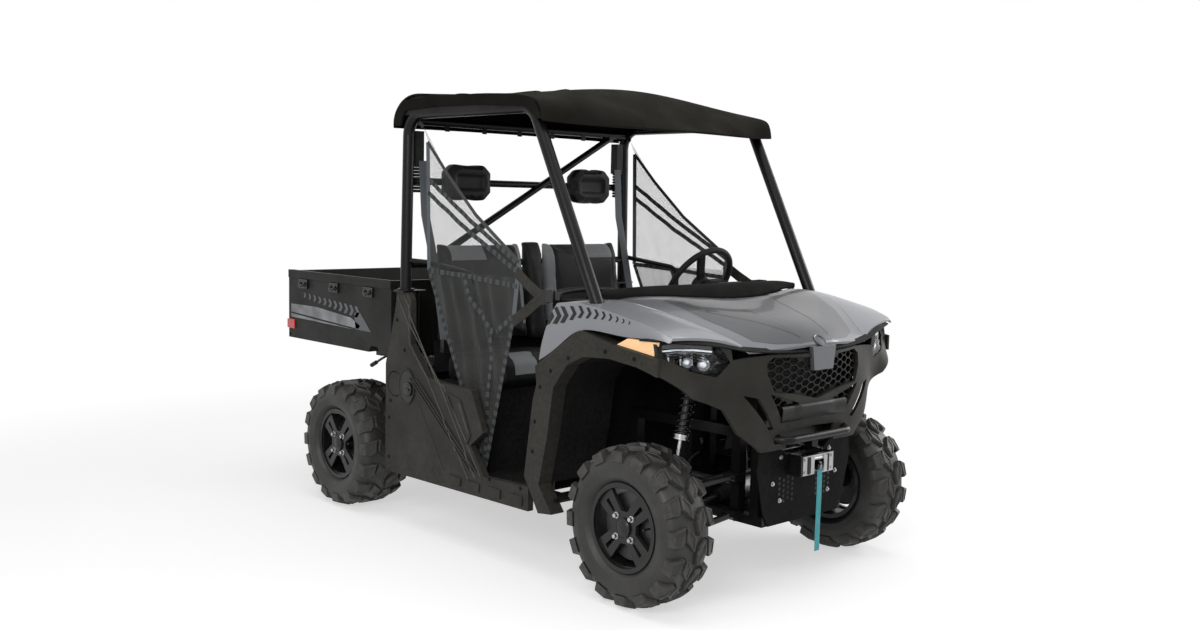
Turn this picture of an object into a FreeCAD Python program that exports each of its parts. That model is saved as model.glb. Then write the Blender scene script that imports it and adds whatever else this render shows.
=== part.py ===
"""Side by side utility vehicle: two seats, open cab, tilting cargo bed, four driven wheels.

Millimetres. +X points forward, +Y to the driver's left, +Z up. The origin lies on the ground
under the middle of the vehicle. Pieces that come in pairs are drawn for the right side, where
Y is negative, and mirrored.
"""
import FreeCAD, Part
import math
import os
import re
import Sketcher

Vector = FreeCAD.Vector

SIZES = {
    # Wheels and axles
    "wheel_base": 1930, "front_axle_x": 1095, "tyre_tip_r": 299, "lug_tall": 17,
    "lug_sunk": 6, "lug_pitches": 16,
    "front_tyre_w": 208, "rear_tyre_w": 262, "front_outer_y": 723, "rear_outer_y": 744,
    "bead_r": 154, "rim_flange_r": 166, "rim_wall": 5, "rim_lip": 4, "rim_edge": 8,
    "tyre_wall": 11, "bead_gap": 0.3,
    "front_rim_w": 172, "rear_rim_w": 216, "disc_thick": 16,
    "spindle_r": 20, "spindle_gap": 0.05, "hub_r": 46, "hub_long": 60, "hub_cap_r": 30,
    "hub_face_gap": 2, "spoke_half_w": 16, "window_w": 70, "spoke_count": 4,
    "hub_cap_tall": 10, "disc_out": 30, "slot_half_w": 5, "slot_in": 26, "slot_out": 24,
    # Suspension
    "king_y": 560, "ball_up": 94, "ball_down": 94, "boss_r": 22, "boss_tall": 26,
    "stud_r": 8, "stud_gap": 0.1, "stud_long": 20, "arm_tube_r": 13, "arm_spread": 140,
    "upper_pivot_z": 450, "lower_pivot_z": 305, "bush_r": 16, "bush_long": 54,
    "seat_gap": 0.3, "ear_thick": 6, "ear_out": 33, "knuckle_r": 24, "knuckle_gap": 2,
    "knuckle_foot_up": 14,
    "cup_r": 38, "joint_ball_r": 28, "ball_gap": 1.5, "shaft_r": 13, "diff_z": 345,
    "diff_half_w": 96, "diff_r": 48, "diff_nose": 60, "diff_nose_r": 26, "diff_foot": 34,
    "prop_z": 345, "prop_r": 14, "gearbox_half": 120, "gearbox_top_z": 470,
    "engine_gap": 75, "engine_long": 378,
    "engine_rear_x": "=front_axle_x - wheel_base + gearbox_half + engine_gap",
    "engine_front_x": "=engine_rear_x + engine_long", "engine_half_w": 185,
    "engine_low_z": 392, "engine_top_z": 630, "muffler_back": 315,
    "muffler_x": "=front_axle_x - wheel_base - muffler_back", "muffler_z": 520,
    "muffler_r": 62, "muffler_half": 190, "outlet_r": 19, "outlet_long": 110,
    "boot_r": 36, "boot_long": 70,
    "front_shock_top_y": 346, "front_shock_top_z": 826, "front_shock_low_y": 440,
    "rear_shock_top_y": 300, "rear_shock_top_z": 716, "rear_shock_low_y": 430,
    "shock_body_r": 21, "coil_r": 31, "coil_turns": 8, "shock_rod_r": 8,
    "shock_eye_r": 13, "shock_eye_w": 30, "shock_plate": 8,
    # Steering
    "steer_arm_back": 60, "steer_arm_in": 15, "steer_arm_z": 370, "steer_arm_thick": 12,
    "tie_rod_r": 8, "tie_eye_r": 12, "tie_eye_gap": 1.5, "rack_r": 15, "rack_half_w": 200,
    "rack_rod_r": 11, "rack_gap": 0.2,
    "wheel_hub_x": 470, "wheel_hub_y": 370, "wheel_hub_z": 1120, "column_lean": 32,
    "steer_ring_r": 178, "steer_grip_r": 14, "column_r": 22, "column_long": 270,
    "column_gap": 1, "steer_hub_deep": 36, "steer_hub_r": 42, "steer_spoke_w": 34,
    "pinion_y": 60,
    # Frame
    "rail_y": 225, "rail_w": 40, "rail_low_z": 285, "rail_tall": 30,
    "frame_nose": 276, "frame_tail": 345,
    "frame_front_x": "=front_axle_x + frame_nose",
    "frame_rear_x": "=front_axle_x - wheel_base - frame_tail",
    "front_post_x": 1330, "tower_w": 40, "tower_top_z": 640,
    "sill_tube_y": 622, "sill_tube_w": 36, "sill_rear_x": -440, "sill_front_x": 640,
    "cross_w": 36, "step_cross_x": 80, "bed_rail_low_z": 650, "bed_rail_tall": 40,
    "post_x": -341, "post_y": 672, "post_r": 25, "frame_post_y": 628, "post_foot_z": 1066,
    "flange_thick": 8, "flange_half": 40, "pillar_flange_r": 34, "toe_tube_x": 690, "cowl_foot_x": 590,
    "cowl_knee_x": 655, "cowl_knee_z": 700, "cowl_tube_x": 705, "mount_tab_z": 385,
    "cowl_tube_z": 850, "dash_beam_z": 960, "dash_beam_r": 17, "bracket_y": 300, "shock_bar_thick": 26,
    "pivot_back": 365, "pivot_x": "=front_axle_x - wheel_base - pivot_back",
    "pivot_z": 705, "pivot_pin_r": 10, "pivot_gap": 0.05,
    "pivot_ear_thick": 10, "pivot_ear_gap": 0.5, "hitch_low_z": 345, "hitch_bore_half": 25.6,
    "hitch_wall": 6, "hitch_out": 150, "hitch_end_x": "=frame_rear_x - hitch_out",
    "hitch_pin_r": 8, "hitch_pin_in": 38,
    # Roll cage
    "pillar_foot_x": 900, "pillar_foot_y": 649, "pillar_foot_z": 1062, "foot_inset": 20,
    "pillar_top_x": 503, "pillar_top_y": 656, "rail_tube_z": 1842, "cage_bend": 95,
    "roof_tube_y": 660, "brace_r": 16, "cross_tube_r": 19,
    "back_bar_z": 1180, "back_pad_reach": 32, "rest_bar_z": 1550, "brace_half_w": 560,
    "tab_w": 24, "tab_tall": 34, "tab_thick": 4,
    # Roof
    "roof_half_w": 695, "roof_thick": 9, "roof_side_z": 1902, "roof_crown": 40,
    "roof_rear_x": -410, "roof_rear_z": 1790, "roof_break_x": 455, "visor_x": 762,
    "visor_corner_x": 590, "visor_z": 1774, "roof_skirt": 42,
    # Cargo bed
    "bed_back": 590, "bed_ahead": 346, "notch_ahead": 205,
    "bed_rear_x": "=front_axle_x - wheel_base - bed_back",
    "bed_front_x": "=front_axle_x - wheel_base + bed_ahead",
    "bed_half_w": 650, "bed_wall": 26,
    "bed_low_z": 752, "bed_top_z": 1097, "bed_floor": 38, "gate_thick": 26,
    "gate_gap": 3, "gate_hinge_r": 9,
    "bed_notch_x": "=front_axle_x - wheel_base + notch_ahead",
    "bed_notch": 30, "lamp_low_z": 800, "lamp_tall": 46, "lamp_wide": 64, "lamp_proud": 6,
    "latch_proud": 30, "latch_w": 40, "latch_z": 925,
    # Floor and side panels
    "floor_z": 315.3, "floor_thick": 8, "floor_half_w": 596, "tunnel_half_w": 70,
    "tunnel_top_z": 392, "floor_rear_x": -60, "toe_low_x": 560, "toe_high_x": 700,
    "toe_top_z": 900, "panel_out_y": 690, "panel_in_y": 662,
    "panel_rear_x": -470, "panel_low_z": 232, "sill_top_z": 345, "sill_end_x": 548,
    "rib_proud": 6, "cap_r": 34, "cap_x": -395, "cap_z": 640, "cap_recess_r": 58,
    "cap_deep": 18, "kink_x": -142, "kink_z": 701, "band_foot_x": 264, "half_door_x": 253,
    "half_door_z": 612, "half_door_top_z": 684, "rib_pitch": 26, "rib_wide": 14,
    # Seats
    "seat_front_x": 170, "seat_base_rear_x": -200, "seat_base_top_z": 672,
    "seat_base_half_w": 590, "seat_wall": 8, "cushion_front_x": 235, "cushion_top_z": 815,
    "cushion_rear_x": -215, "back_low_z": 821, "back_top_z": 1285, "back_thick": 105,
    "back_lean": 75, "back_low_x": -185, "pad_inset": 30,
    "narrow_half_w": 58, "rest_half_w": 132, "rest_low_z": 1465, "rest_top_z": 1635,
    "rest_y": 378, "rest_thick": 62,
    # Front body
    "hood_thick": 9, "fender_thick": 9, "flare_out_y": 716, "flare_in_y": 650,
    "fender_out_y": 702, "mask_thick": 14, "mask_tall": 440, "grille_thick": 10,
    "grille_edge": 10, "grille_z": 846, "cell_w": 50, "cell_flat": 22, "cell_h": 29, "cell_wall": 5,
    "dash_rear_x": 560, "dash_front_x": 790, "dash_top_z": 1090, "dash_low_z": 905,
    "dash_half_w": 590, "liner_thick": 5, "liner_in_y": 384, "liner_rear_x": 735,
    "net_y": 633.3, "net_thick": 3, "reel_w": 46, "reel_deep": 40, "reel_low_z": 1620, "reel_tall": 150,
    "hip_z": 1180, "hip_foot_z": 540, "hip_front_x": 95, "hip_r": 11, "hip_y": 622, "hip_bend": 60,
    # Winch, bar and strap
    "winch_z": 502, "winch_half_w": 96, "winch_tall": 84, "fairlead_x": 1436, "fairlead_half_w": 102,
    "fairlead_tall": 77, "fairlead_thick": 10, "drum_r": 36,
    "plate_top_w": 290, "plate_low_w": 246, "plate_top_z": 572, "plate_wide_z": 500,
    "plate_narrow_z": 332, "skid_thick": 5, "skid_half_w": 246,
    "bar_r": 15, "bar_x": 1440, "bar_half_w": 190,
    "bar_z": 612, "bar_bend": 45, "strap_w": 28, "strap_thick": 3, "strap_top_z": 484, "hook_x": 1441,
    
}

doc = FreeCAD.newDocument("SideBySide")
sheet = doc.addObject("Spreadsheet::Sheet", "Sizes")
for row, (alias, number) in enumerate(SIZES.items(), start=1):
    sheet.set("A%d" % row, alias)
    sheet.set("B%d" % row, str(number))
    sheet.setAlias("B%d" % row, alias)
doc.recompute()

nodes = []


# Drawing helpers


def bound(text):
    """Write a size expression with every alias tied to the sheet."""
    return re.sub(r"\b([a-z]+(?:_[a-z0-9]+)+)\b", r"Sizes.\1", str(text))


def size(text):
    """Work out a size expression in millimetres."""
    return float(sheet.evalExpression(bound(text)))


def point(x, y, z):
    return Vector(size(x), size(y), size(z))


def node(label, piece):
    """Name a finished sub-part after its file."""
    piece.Label = label
    nodes.append(piece)
    return piece


def feature(label, shape):
    """Hold a shape that has no feature of its own, such as a bent tube."""
    piece = doc.addObject("Part::Feature", label)
    piece.Shape = shape
    piece.Placement = FreeCAD.Placement()
    return piece


def block(x, y, z):
    """A box between two values on each axis."""
    box = doc.addObject("Part::Box", "Block")
    for side, (low, high) in zip(("Length", "Width", "Height"), (x, y, z)):
        box.setExpression(side, bound("(%s) - (%s)" % (high, low)))
    for axis, (low, high) in zip("xyz", (x, y, z)):
        box.setExpression(".Placement.Base." + axis, bound(low))
    return box


def rod(axis, start, radius, long):
    """A round bar from a start point along an axis."""
    bar = doc.addObject("Part::Cylinder", "Rod")
    bar.Placement.Rotation = FreeCAD.Rotation(Vector(0, 0, 1), axis)
    for letter, place in zip("xyz", start):
        bar.setExpression(".Placement.Base." + letter, bound(place))
    bar.setExpression("Radius", bound(radius))
    bar.setExpression("Height", bound(long))
    return bar


ALONG_X = Vector(1, 0, 0)
ALONG_Y = Vector(0, 1, 0)
RIGHTWARD = Vector(0, -1, 0)
UPWARD = Vector(0, 0, 1)


def around(middle, width):
    """The two ends of a width about its middle."""
    return "(%s) - (%s) / 2" % (middle, width), "(%s) + (%s) / 2" % (middle, width)


def straight(start, end, radius):
    """A round bar between two points, as a shape."""
    return Part.makeCylinder(radius, (end - start).Length, start, end - start)


def bent_path(corners, bend):
    """Straight runs joined by tangent arcs."""
    edges = []
    start = corners[0]
    for before, corner, after in zip(corners, corners[1:], corners[2:]):
        back = (before - corner).normalize()
        ahead = (after - corner).normalize()
        half_angle = back.getAngle(ahead) / 2
        reach = bend / math.tan(half_angle)
        top = corner + (back + ahead).normalize() * (bend / math.sin(half_angle) - bend)
        edges.append(Part.LineSegment(start, corner + back * reach).toShape())
        edges.append(Part.Arc(corner + back * reach, top, corner + ahead * reach).toShape())
        start = corner + ahead * reach
    edges.append(Part.LineSegment(start, corners[-1]).toShape())
    return Part.Wire(edges)


def bent_tube(corners, radius, bend):
    """A round tube swept along a bent path."""
    path = bent_path(corners, bend)
    first = path.Edges[0]
    ring = Part.makeCircle(radius, corners[0], first.tangentAt(first.FirstParameter))
    return path.makePipeShell([Part.Wire(ring)], True, False)


def fused(shapes):
    return shapes[0].fuse(shapes[1:]).removeSplitter()


def joined(pieces):
    union = doc.addObject("Part::MultiFuse", "Joined")
    union.Shapes = pieces
    return union


def cut(base, tool):
    result = doc.addObject("Part::Cut", "Trimmed")
    result.Base = base
    result.Tool = tool
    return result


def mirrored(piece):
    """The left-hand copy of a right-hand piece."""
    other = doc.addObject("Part::Mirroring", "LeftHand")
    other.Source = piece
    other.Normal = ALONG_Y
    return other


def together(pieces):
    group = doc.addObject("Part::Compound", "Set")
    group.Links = pieces
    return group


def pair(piece):
    """A right-hand piece and its left-hand mirror image."""
    return together([piece, mirrored(piece)])


def outline(body, plane, corners, offset="0"):
    """A closed sketch whose every corner is placed by the sheet."""
    sketch = body.newObject("Sketcher::SketchObject", "Outline")
    datum = [part for part in body.Origin.OriginFeatures if part.Role == plane][0]
    sketch.AttachmentSupport = (datum, [""])
    sketch.MapMode = "FlatFace"
    sketch.setExpression(".AttachmentOffset.Base.z", bound(offset))
    places = [Vector(size(across), size(up), 0) for across, up in corners]
    count = len(corners)
    for index in range(count):
        line = Part.LineSegment(places[index], places[(index + 1) % count])
        sketch.addGeometry(line, False)
    for index in range(count):
        sketch.addConstraint(Sketcher.Constraint("Coincident", index, 2, (index + 1) % count, 1))
    for index, (across, up) in enumerate(corners):
        for kind, text, place in (("DistanceX", across, places[index].x),
                                  ("DistanceY", up, places[index].y)):
            number = sketch.addConstraint(Sketcher.Constraint(kind, -1, 1, index, 1, place))
            sketch.setExpression("Constraints[%d]" % number, bound(text))
    return sketch


def both_edges(corners):
    """Complete an outline whose first and last corners lie on the middle line."""
    other = [("-(%s)" % across, up) for across, up in reversed(corners)]
    inner = [corner for corner in other if corner[0] != "-(0)"]
    return corners + inner


def ring_sketch(body, plane, across, up, radius, offset="0"):
    """A circle placed and sized by the sheet."""
    sketch = body.newObject("Sketcher::SketchObject", "Ring")
    datum = [part for part in body.Origin.OriginFeatures if part.Role == plane][0]
    sketch.AttachmentSupport = (datum, [""])
    sketch.MapMode = "FlatFace"
    sketch.setExpression(".AttachmentOffset.Base.z", bound(offset))
    middle = Vector(size(across), size(up), 0)
    sketch.addGeometry(Part.Circle(middle, UPWARD, size(radius)), False)
    for kind, text, place in (("DistanceX", across, middle.x), ("DistanceY", up, middle.y)):
        number = sketch.addConstraint(Sketcher.Constraint(kind, -1, 1, 0, 3, place))
        sketch.setExpression("Constraints[%d]" % number, bound(text))
    number = sketch.addConstraint(Sketcher.Constraint("Radius", 0, size(radius)))
    sketch.setExpression("Constraints[%d]" % number, bound(radius))
    return sketch


def new_body(label):
    return doc.addObject("PartDesign::Body", label)


def extrude(body, kind, sketch, long, reverse=False):
    """A Pad or a Pocket of a sketch."""
    step = body.newObject("PartDesign::" + kind, kind)
    step.Profile = sketch
    step.Reversed = reverse
    step.setExpression("Length", bound(long))
    sketch.Visibility = False
    return step


def pad(body, plane, corners, low, high):
    """A pad of an outline between two distances from an origin plane."""
    # The XZ plane faces -Y, so its distances count to the right
    return extrude(body, "Pad", outline(body, plane, corners, low), "(%s) - (%s)" % (high, low))


def pocket(body, plane, corners, low, high):
    """A pocket of an outline between two distances from an origin plane."""
    sketch = outline(body, plane, corners, low)
    return extrude(body, "Pocket", sketch, "(%s) - (%s)" % (high, low), True)


def plate(label, plane, corners, low, high):
    body = new_body(label)
    pad(body, plane, corners, low, high)
    return body


def revolve(body, plane, corners, axis_name, kind="Revolution"):
    """Turn an outline about an axis of its own sketch."""
    sketch = outline(body, plane, corners)
    step = body.newObject("PartDesign::" + kind, kind)
    step.Profile = sketch
    step.ReferenceAxis = (sketch, [axis_name])
    step.Angle = 360
    sketch.Visibility = False
    return step


def place(piece, x, y, z):
    for letter, text in zip("xyz", (x, y, z)):
        piece.setExpression(".Placement.Base." + letter, bound(text))
    return piece


def skin(rows, thickness):
    """A curved panel through rows of points, given a thickness along a vector."""
    surface = Part.BSplineSurface()
    surface.interpolate([[Vector(*place) for place in row] for row in rows])
    return surface.toShape().extrude(thickness)


def both_sides(row):
    """Complete a row of right-hand points (from the outside in to y = 0) across the middle."""
    return row + [(x, -y, z) for x, y, z in reversed(row[:-1])]


REAR_AXLE = "(front_axle_x - wheel_base)"
AXLE_Z = "tyre_tip_r"
RAIL_TOP = "(rail_low_z + rail_tall)"
BED_RAIL_TOP = "(bed_rail_low_z + bed_rail_tall)"
TOWER_OUT = "(rail_y + tower_w / 2)"
BUSH_Y = "(rail_y + tower_w / 2 + seat_gap + bush_r)"
UPPER_BALL_Z = "(tyre_tip_r + ball_up)"
LOWER_BALL_Z = "(tyre_tip_r - ball_down)"
DASH_BEAM_X = ("(cowl_tube_x + (dash_beam_z - cowl_tube_z) * (pillar_foot_x - cowl_tube_x)"
               " / (pillar_foot_z - cowl_tube_z))")


# Frame


def axle_towers(axle_x, top):
    """Two uprights beside an axle with ears that hold the suspension arms' bushes."""
    pieces = []
    for sign in "-+":
        middle = "(%s) %s arm_spread" % (axle_x, sign)
        across = ("-rail_y - tower_w / 2", "-rail_y + tower_w / 2")
        pieces.append(block(around(middle, "tower_w"), across, (RAIL_TOP, top)))
        for pivot_z in ("upper_pivot_z", "lower_pivot_z"):
            pieces.append(block(around(middle, "bush_long + 2 * ear_thick"),
                                ("-" + TOWER_OUT, "-rail_y"), around(pivot_z, "2 * bush_r")))
            for ear_sign in "-+":
                inner = "(%s) %s bush_long / 2" % (middle, ear_sign)
                outer = "(%s) %s (bush_long / 2 + ear_thick)" % (middle, ear_sign)
                along = (inner, outer) if ear_sign == "+" else (outer, inner)
                tall = around(pivot_z, "2 * bush_r")
                pieces.append(block(along, ("-%s - ear_out" % TOWER_OUT, "-rail_y"), tall))
    return pieces


def shock_tower():
    """Tubes that stand on the front towers and carry the shock's upper ears."""
    top = point("front_axle_x", "-front_shock_top_y",
                "front_shock_top_z + shock_eye_r + shock_bar_thick / 2")
    shapes = []
    for sign in (-1, 1):
        foot = point("front_axle_x", "-rail_y", "tower_top_z - arm_tube_r")
        foot.x += sign * size("arm_spread")
        shapes.append(straight(foot, top + Vector(sign * size("shock_eye_w"), 0, 0),
                               size("arm_tube_r")))
    bar = straight(top - Vector(size("shock_eye_w"), 0, 0), top + Vector(size("shock_eye_w"), 0, 0),
                   size("arm_tube_r"))
    shapes.append(bar)
    return feature("ShockTower", fused(shapes))


def shock_ears(axle_x, y, z, low, high):
    """A fork of two ears with a bolt through the shock's eye."""
    pieces = []
    for sign in "-+":
        inner = "(%s) %s (shock_eye_w / 2 + seat_gap)" % (axle_x, sign)
        outer = "(%s) %s (shock_eye_w / 2 + seat_gap + ear_thick)" % (axle_x, sign)
        along = (inner, outer) if sign == "+" else (outer, inner)
        pieces.append(block(along, around("-(%s)" % y, "2 * shock_eye_r"), (low, high)))
    return pieces


def chassis_frame():
    right = [
        block(("frame_rear_x", "frame_front_x"), around("-rail_y", "rail_w"),
              ("rail_low_z", RAIL_TOP)),
        block(("sill_rear_x", "sill_front_x"), around("-sill_tube_y", "sill_tube_w"),
              ("rail_low_z", RAIL_TOP)),
        block(("toe_tube_x", "front_post_x"), around("-rail_y", "tower_w"),
              ("tower_top_z - tower_w", "tower_top_z")),
        block(around("toe_tube_x", "tower_w"), around("-rail_y", "tower_w"),
              (RAIL_TOP, "tower_top_z")),
        block(around("front_post_x", "tower_w"), around("-rail_y", "tower_w"),
              (RAIL_TOP, "tower_top_z")),
        block(("pivot_x - 2 * pivot_pin_r", "post_x"), around("-rail_y", "tower_w"),
              ("bed_rail_low_z", BED_RAIL_TOP)),
        pivot_ear(),
        block(around("post_x", "2 * flange_half"),
              around("-(frame_post_y + post_y) / 2", "2 * flange_half + post_y - frame_post_y"),
              ("post_foot_z - flange_thick", "post_foot_z")),
        rod(UPWARD, ("post_x", "-frame_post_y", RAIL_TOP + " - rail_tall / 2"), "post_r",
            "post_foot_z - %s + rail_tall / 2 - flange_thick / 2" % RAIL_TOP),
        block(around("post_x", "cross_w"), ("-sill_tube_y", "-rail_y"),
              ("rail_low_z", RAIL_TOP)),
        block(around("step_cross_x", "cross_w"), ("-sill_tube_y", "-rail_y"),
              ("rail_low_z", RAIL_TOP)),
        block(("sill_front_x - cross_w", "sill_front_x"), ("-sill_tube_y", "-rail_y"),
              ("rail_low_z", RAIL_TOP)),
    ]
    for mount_x in ("engine_rear_x + 60", "engine_front_x - 60"):
        right.append(block(around(mount_x, "40"), ("-rail_y", "-engine_half_w + 25"),
                           (RAIL_TOP, "engine_low_z - seat_gap")))
    right += axle_towers("front_axle_x", "tower_top_z")
    right += axle_towers(REAR_AXLE, "bed_rail_low_z + bed_rail_tall / 2")
    cowl_tube = bent_tube([point("cowl_foot_x", "-sill_tube_y", RAIL_TOP + " - rail_tall / 2"),
                           point("cowl_knee_x", "-sill_tube_y", "cowl_knee_z"),
                           point("cowl_tube_x", "-sill_tube_y", "cowl_tube_z"),
                           point("pillar_foot_x", "-pillar_foot_y + foot_inset",
                                 "pillar_foot_z")],
                          size("post_r") * 0.8, size("cage_bend"))
    above = Part.makeBox(400, 400, 100, point("pillar_foot_x - 200", "-pillar_foot_y - 200",
                                              "pillar_foot_z - flange_thick / 2"))
    right.append(feature("CowlTube", cowl_tube.cut(above)))
    right.append(rod(UPWARD, ("pillar_foot_x", "-pillar_foot_y", "pillar_foot_z - flange_thick"),
                     "pillar_flange_r", "flange_thick"))
    right.append(block(around("cowl_foot_x + 15", "30"),
                       ("-flare_in_y + seat_gap", "-sill_tube_y"), around("mount_tab_z", "20")))
    right.append(cowl_bracket())
    right.append(shock_tower())
    right += shock_ears("front_axle_x", "front_shock_top_y", "front_shock_top_z",
                        "front_shock_top_z - shock_eye_r",
                        "front_shock_top_z + shock_eye_r + shock_bar_thick / 2")
    right += shock_ears(REAR_AXLE, "rear_shock_top_y", "rear_shock_top_z",
                        "rear_shock_top_z - shock_eye_r", "rear_shock_top_z + shock_eye_r")
    fork_wide = around(REAR_AXLE, "shock_eye_w + 2 * seat_gap + 2 * ear_thick")
    fork_top = "rear_shock_top_z + shock_eye_r + 6"
    right.append(block(fork_wide, ("-rear_shock_top_y - shock_eye_r", "-rail_y"),
                       ("rear_shock_top_z + shock_eye_r", fork_top)))
    right.append(block(fork_wide, around("-rail_y", "tower_w"),
                       (BED_RAIL_TOP + " - 1", fork_top)))
    half = joined(right)
    middle = []
    for cross_x in ("frame_front_x - cross_w / 2", "sill_front_x - cross_w / 2", "step_cross_x",
                    "post_x", "frame_rear_x + cross_w / 2"):
        middle.append(block(around(cross_x, "cross_w"), ("-rail_y", "rail_y"),
                            ("rail_low_z", RAIL_TOP)))
    for cross_x in (REAR_AXLE + " - arm_spread", "muffler_x"):
        middle.append(block(around(cross_x, "cross_w"), ("-rail_y", "rail_y"),
                            ("bed_rail_low_z", BED_RAIL_TOP)))
    middle.append(block(around("post_x", "cross_w"), ("-frame_post_y", "frame_post_y"),
                        ("bed_rail_low_z", BED_RAIL_TOP)))
    middle.append(block(around("front_post_x", "tower_w"), ("-rail_y", "rail_y"),
                        ("tower_top_z - tower_w", "tower_top_z")))
    middle.append(rod(ALONG_Y, (DASH_BEAM_X, "-sill_tube_y", "dash_beam_z"), "dash_beam_r",
                      "2 * sill_tube_y"))
    middle += hitch_receiver()
    return joined([half, mirrored(half)] + middle)


def cowl_bracket():
    """A post on the dash beam, trimmed to the underside of the cowl that it carries."""
    post = Part.makeBox(30, 30, 200, point(DASH_BEAM_X + " - 15", "-bracket_y - 15",
                                           "dash_beam_z"))
    drop = Vector(0, 0, size("hood_thick + seat_gap"))
    rows = [[Vector(*place) - drop for place in row] for row in cowl_rows()]
    return feature("CowlBracket", post.cut(skin(rows, Vector(0, 0, 300))))


def pivot_ear():
    """The ear on a bed rail that the bed's pivot pin turns in."""
    ear = block(around("pivot_x", "5 * pivot_pin_r"),
                ("-%s - pivot_ear_thick" % TOWER_OUT, "-%s" % TOWER_OUT),
                ("bed_rail_low_z", "pivot_z + 2.2 * pivot_pin_r"))
    hole = rod(RIGHTWARD, ("pivot_x", "-rail_y", "pivot_z"), "pivot_pin_r + pivot_gap",
               "tower_w + 2 * pivot_ear_thick")
    return cut(ear, hole)


def hitch_receiver():
    """A square socket under the tail, cross-bored for its pin."""
    outer = "2 * (hitch_bore_half + hitch_wall)"
    tall = around("hitch_low_z", outer)
    tube = block(("hitch_end_x", "frame_rear_x + cross_w / 2"), around("0", outer), tall)
    bore = block(("hitch_end_x - 1", "frame_rear_x"), around("0", "2 * hitch_bore_half"),
                 around("hitch_low_z", "2 * hitch_bore_half"))
    pin_hole = rod(ALONG_Y, ("hitch_end_x + hitch_pin_in", "-(%s)" % outer, "hitch_low_z"),
                   "hitch_pin_r", "2 * (%s)" % outer)
    return [cut(cut(tube, bore), pin_hole)]


def skid_plates():
    """Sheet under the frame and the wide plate across its nose, open for the winch."""
    low = "(rail_low_z - seat_gap - skid_thick)"
    body = plate("SkidPlates", "XY_Plane", [
        ("frame_rear_x", "-skid_half_w"), ("frame_front_x + seat_gap", "-skid_half_w"),
        ("frame_front_x + seat_gap", "skid_half_w"), ("frame_rear_x", "skid_half_w"),
    ], low, low + " + skid_thick")
    pad(body, "YZ_Plane", both_edges([
        ("0", low), ("plate_low_w - 30", low), ("plate_low_w", "plate_narrow_z"),
        ("plate_top_w", "plate_wide_z"), ("plate_top_w - 12", "plate_top_z"),
        ("winch_half_w + 60", "plate_top_z"), ("winch_half_w + 20", "winch_z + winch_tall / 2"),
        ("0", "winch_z + winch_tall / 2"),
    ]), "frame_front_x + seat_gap", "frame_front_x + seat_gap + skid_thick")
    pocket(body, "YZ_Plane", both_edges([
        ("0", "winch_z - winch_tall / 2"), ("winch_half_w", "winch_z - winch_tall / 2"),
        ("winch_half_w", "winch_z + winch_tall"), ("0", "winch_z + winch_tall"),
    ]), "frame_front_x - 1", "frame_front_x + 2 * skid_thick")
    return body


# Drive line


def engine_block():
    return block(("engine_rear_x", "engine_front_x"), ("-engine_half_w", "engine_half_w"),
                 ("engine_low_z", "engine_top_z"))


def drive_units():
    """Front differential, rear gearbox and the shaft between them."""
    front = rod(ALONG_Y, ("front_axle_x", "-diff_half_w", "diff_z"), "diff_r", "2 * diff_half_w")
    nose = rod(ALONG_X, ("front_axle_x - diff_r - diff_nose", "0", "prop_z"), "diff_nose_r",
               "diff_nose + diff_r")
    box_low = "rail_low_z + seat_gap"
    foot = block(around("front_axle_x", "2 * diff_foot"), around("0", "2 * diff_foot"),
                 (box_low, "diff_z - diff_r / 2"))
    gearbox = block(around(REAR_AXLE, "2 * gearbox_half"), ("-diff_half_w", "diff_half_w"),
                    (box_low, "gearbox_top_z"))
    shaft = rod(ALONG_X, (REAR_AXLE + " + gearbox_half", "0", "prop_z"), "prop_r",
                "wheel_base - gearbox_half - diff_r - diff_nose + 1")
    return joined([front, nose, foot, gearbox, shaft])


def half_shaft(axle_x):
    """An axle shaft with its inner boot and the ball of its outer joint."""
    inner = point(axle_x, "-diff_half_w - seat_gap", "diff_z")
    outer = point(axle_x, "-king_y", AXLE_Z)
    run = (outer - inner).normalize()
    boot = Part.makeCone(size("boot_r"), size("shaft_r") + 3, size("boot_long"), inner, run)
    flat = Part.makeBox(200, 200, 200, inner - Vector(100, 0, 100))
    return fused([boot.cut(flat), straight(inner + run * 8, outer, size("shaft_r")),
                  Part.makeSphere(size("joint_ball_r"), outer)])


def half_shafts():
    return [feature("HalfShaft", half_shaft(axle_x)) for axle_x in ("front_axle_x", REAR_AXLE)]


def muffler():
    """A drum across the tail with a short outlet."""
    drum = rod(ALONG_Y, ("muffler_x", "-muffler_half", "muffler_z"), "muffler_r", "2 * muffler_half")
    outlet = rod(Vector(-1, 0, 0), ("muffler_x", "-muffler_half + 2 * outlet_r",
                                    "muffler_z - muffler_r / 2"), "outlet_r", "outlet_long")
    hanger = block(around("muffler_x", "cross_w"), around("0", "3 * cross_w"),
                   ("muffler_z + muffler_r / 2", "bed_rail_low_z - seat_gap"))
    return joined([drum, outlet, hanger])


# Suspension


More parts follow.
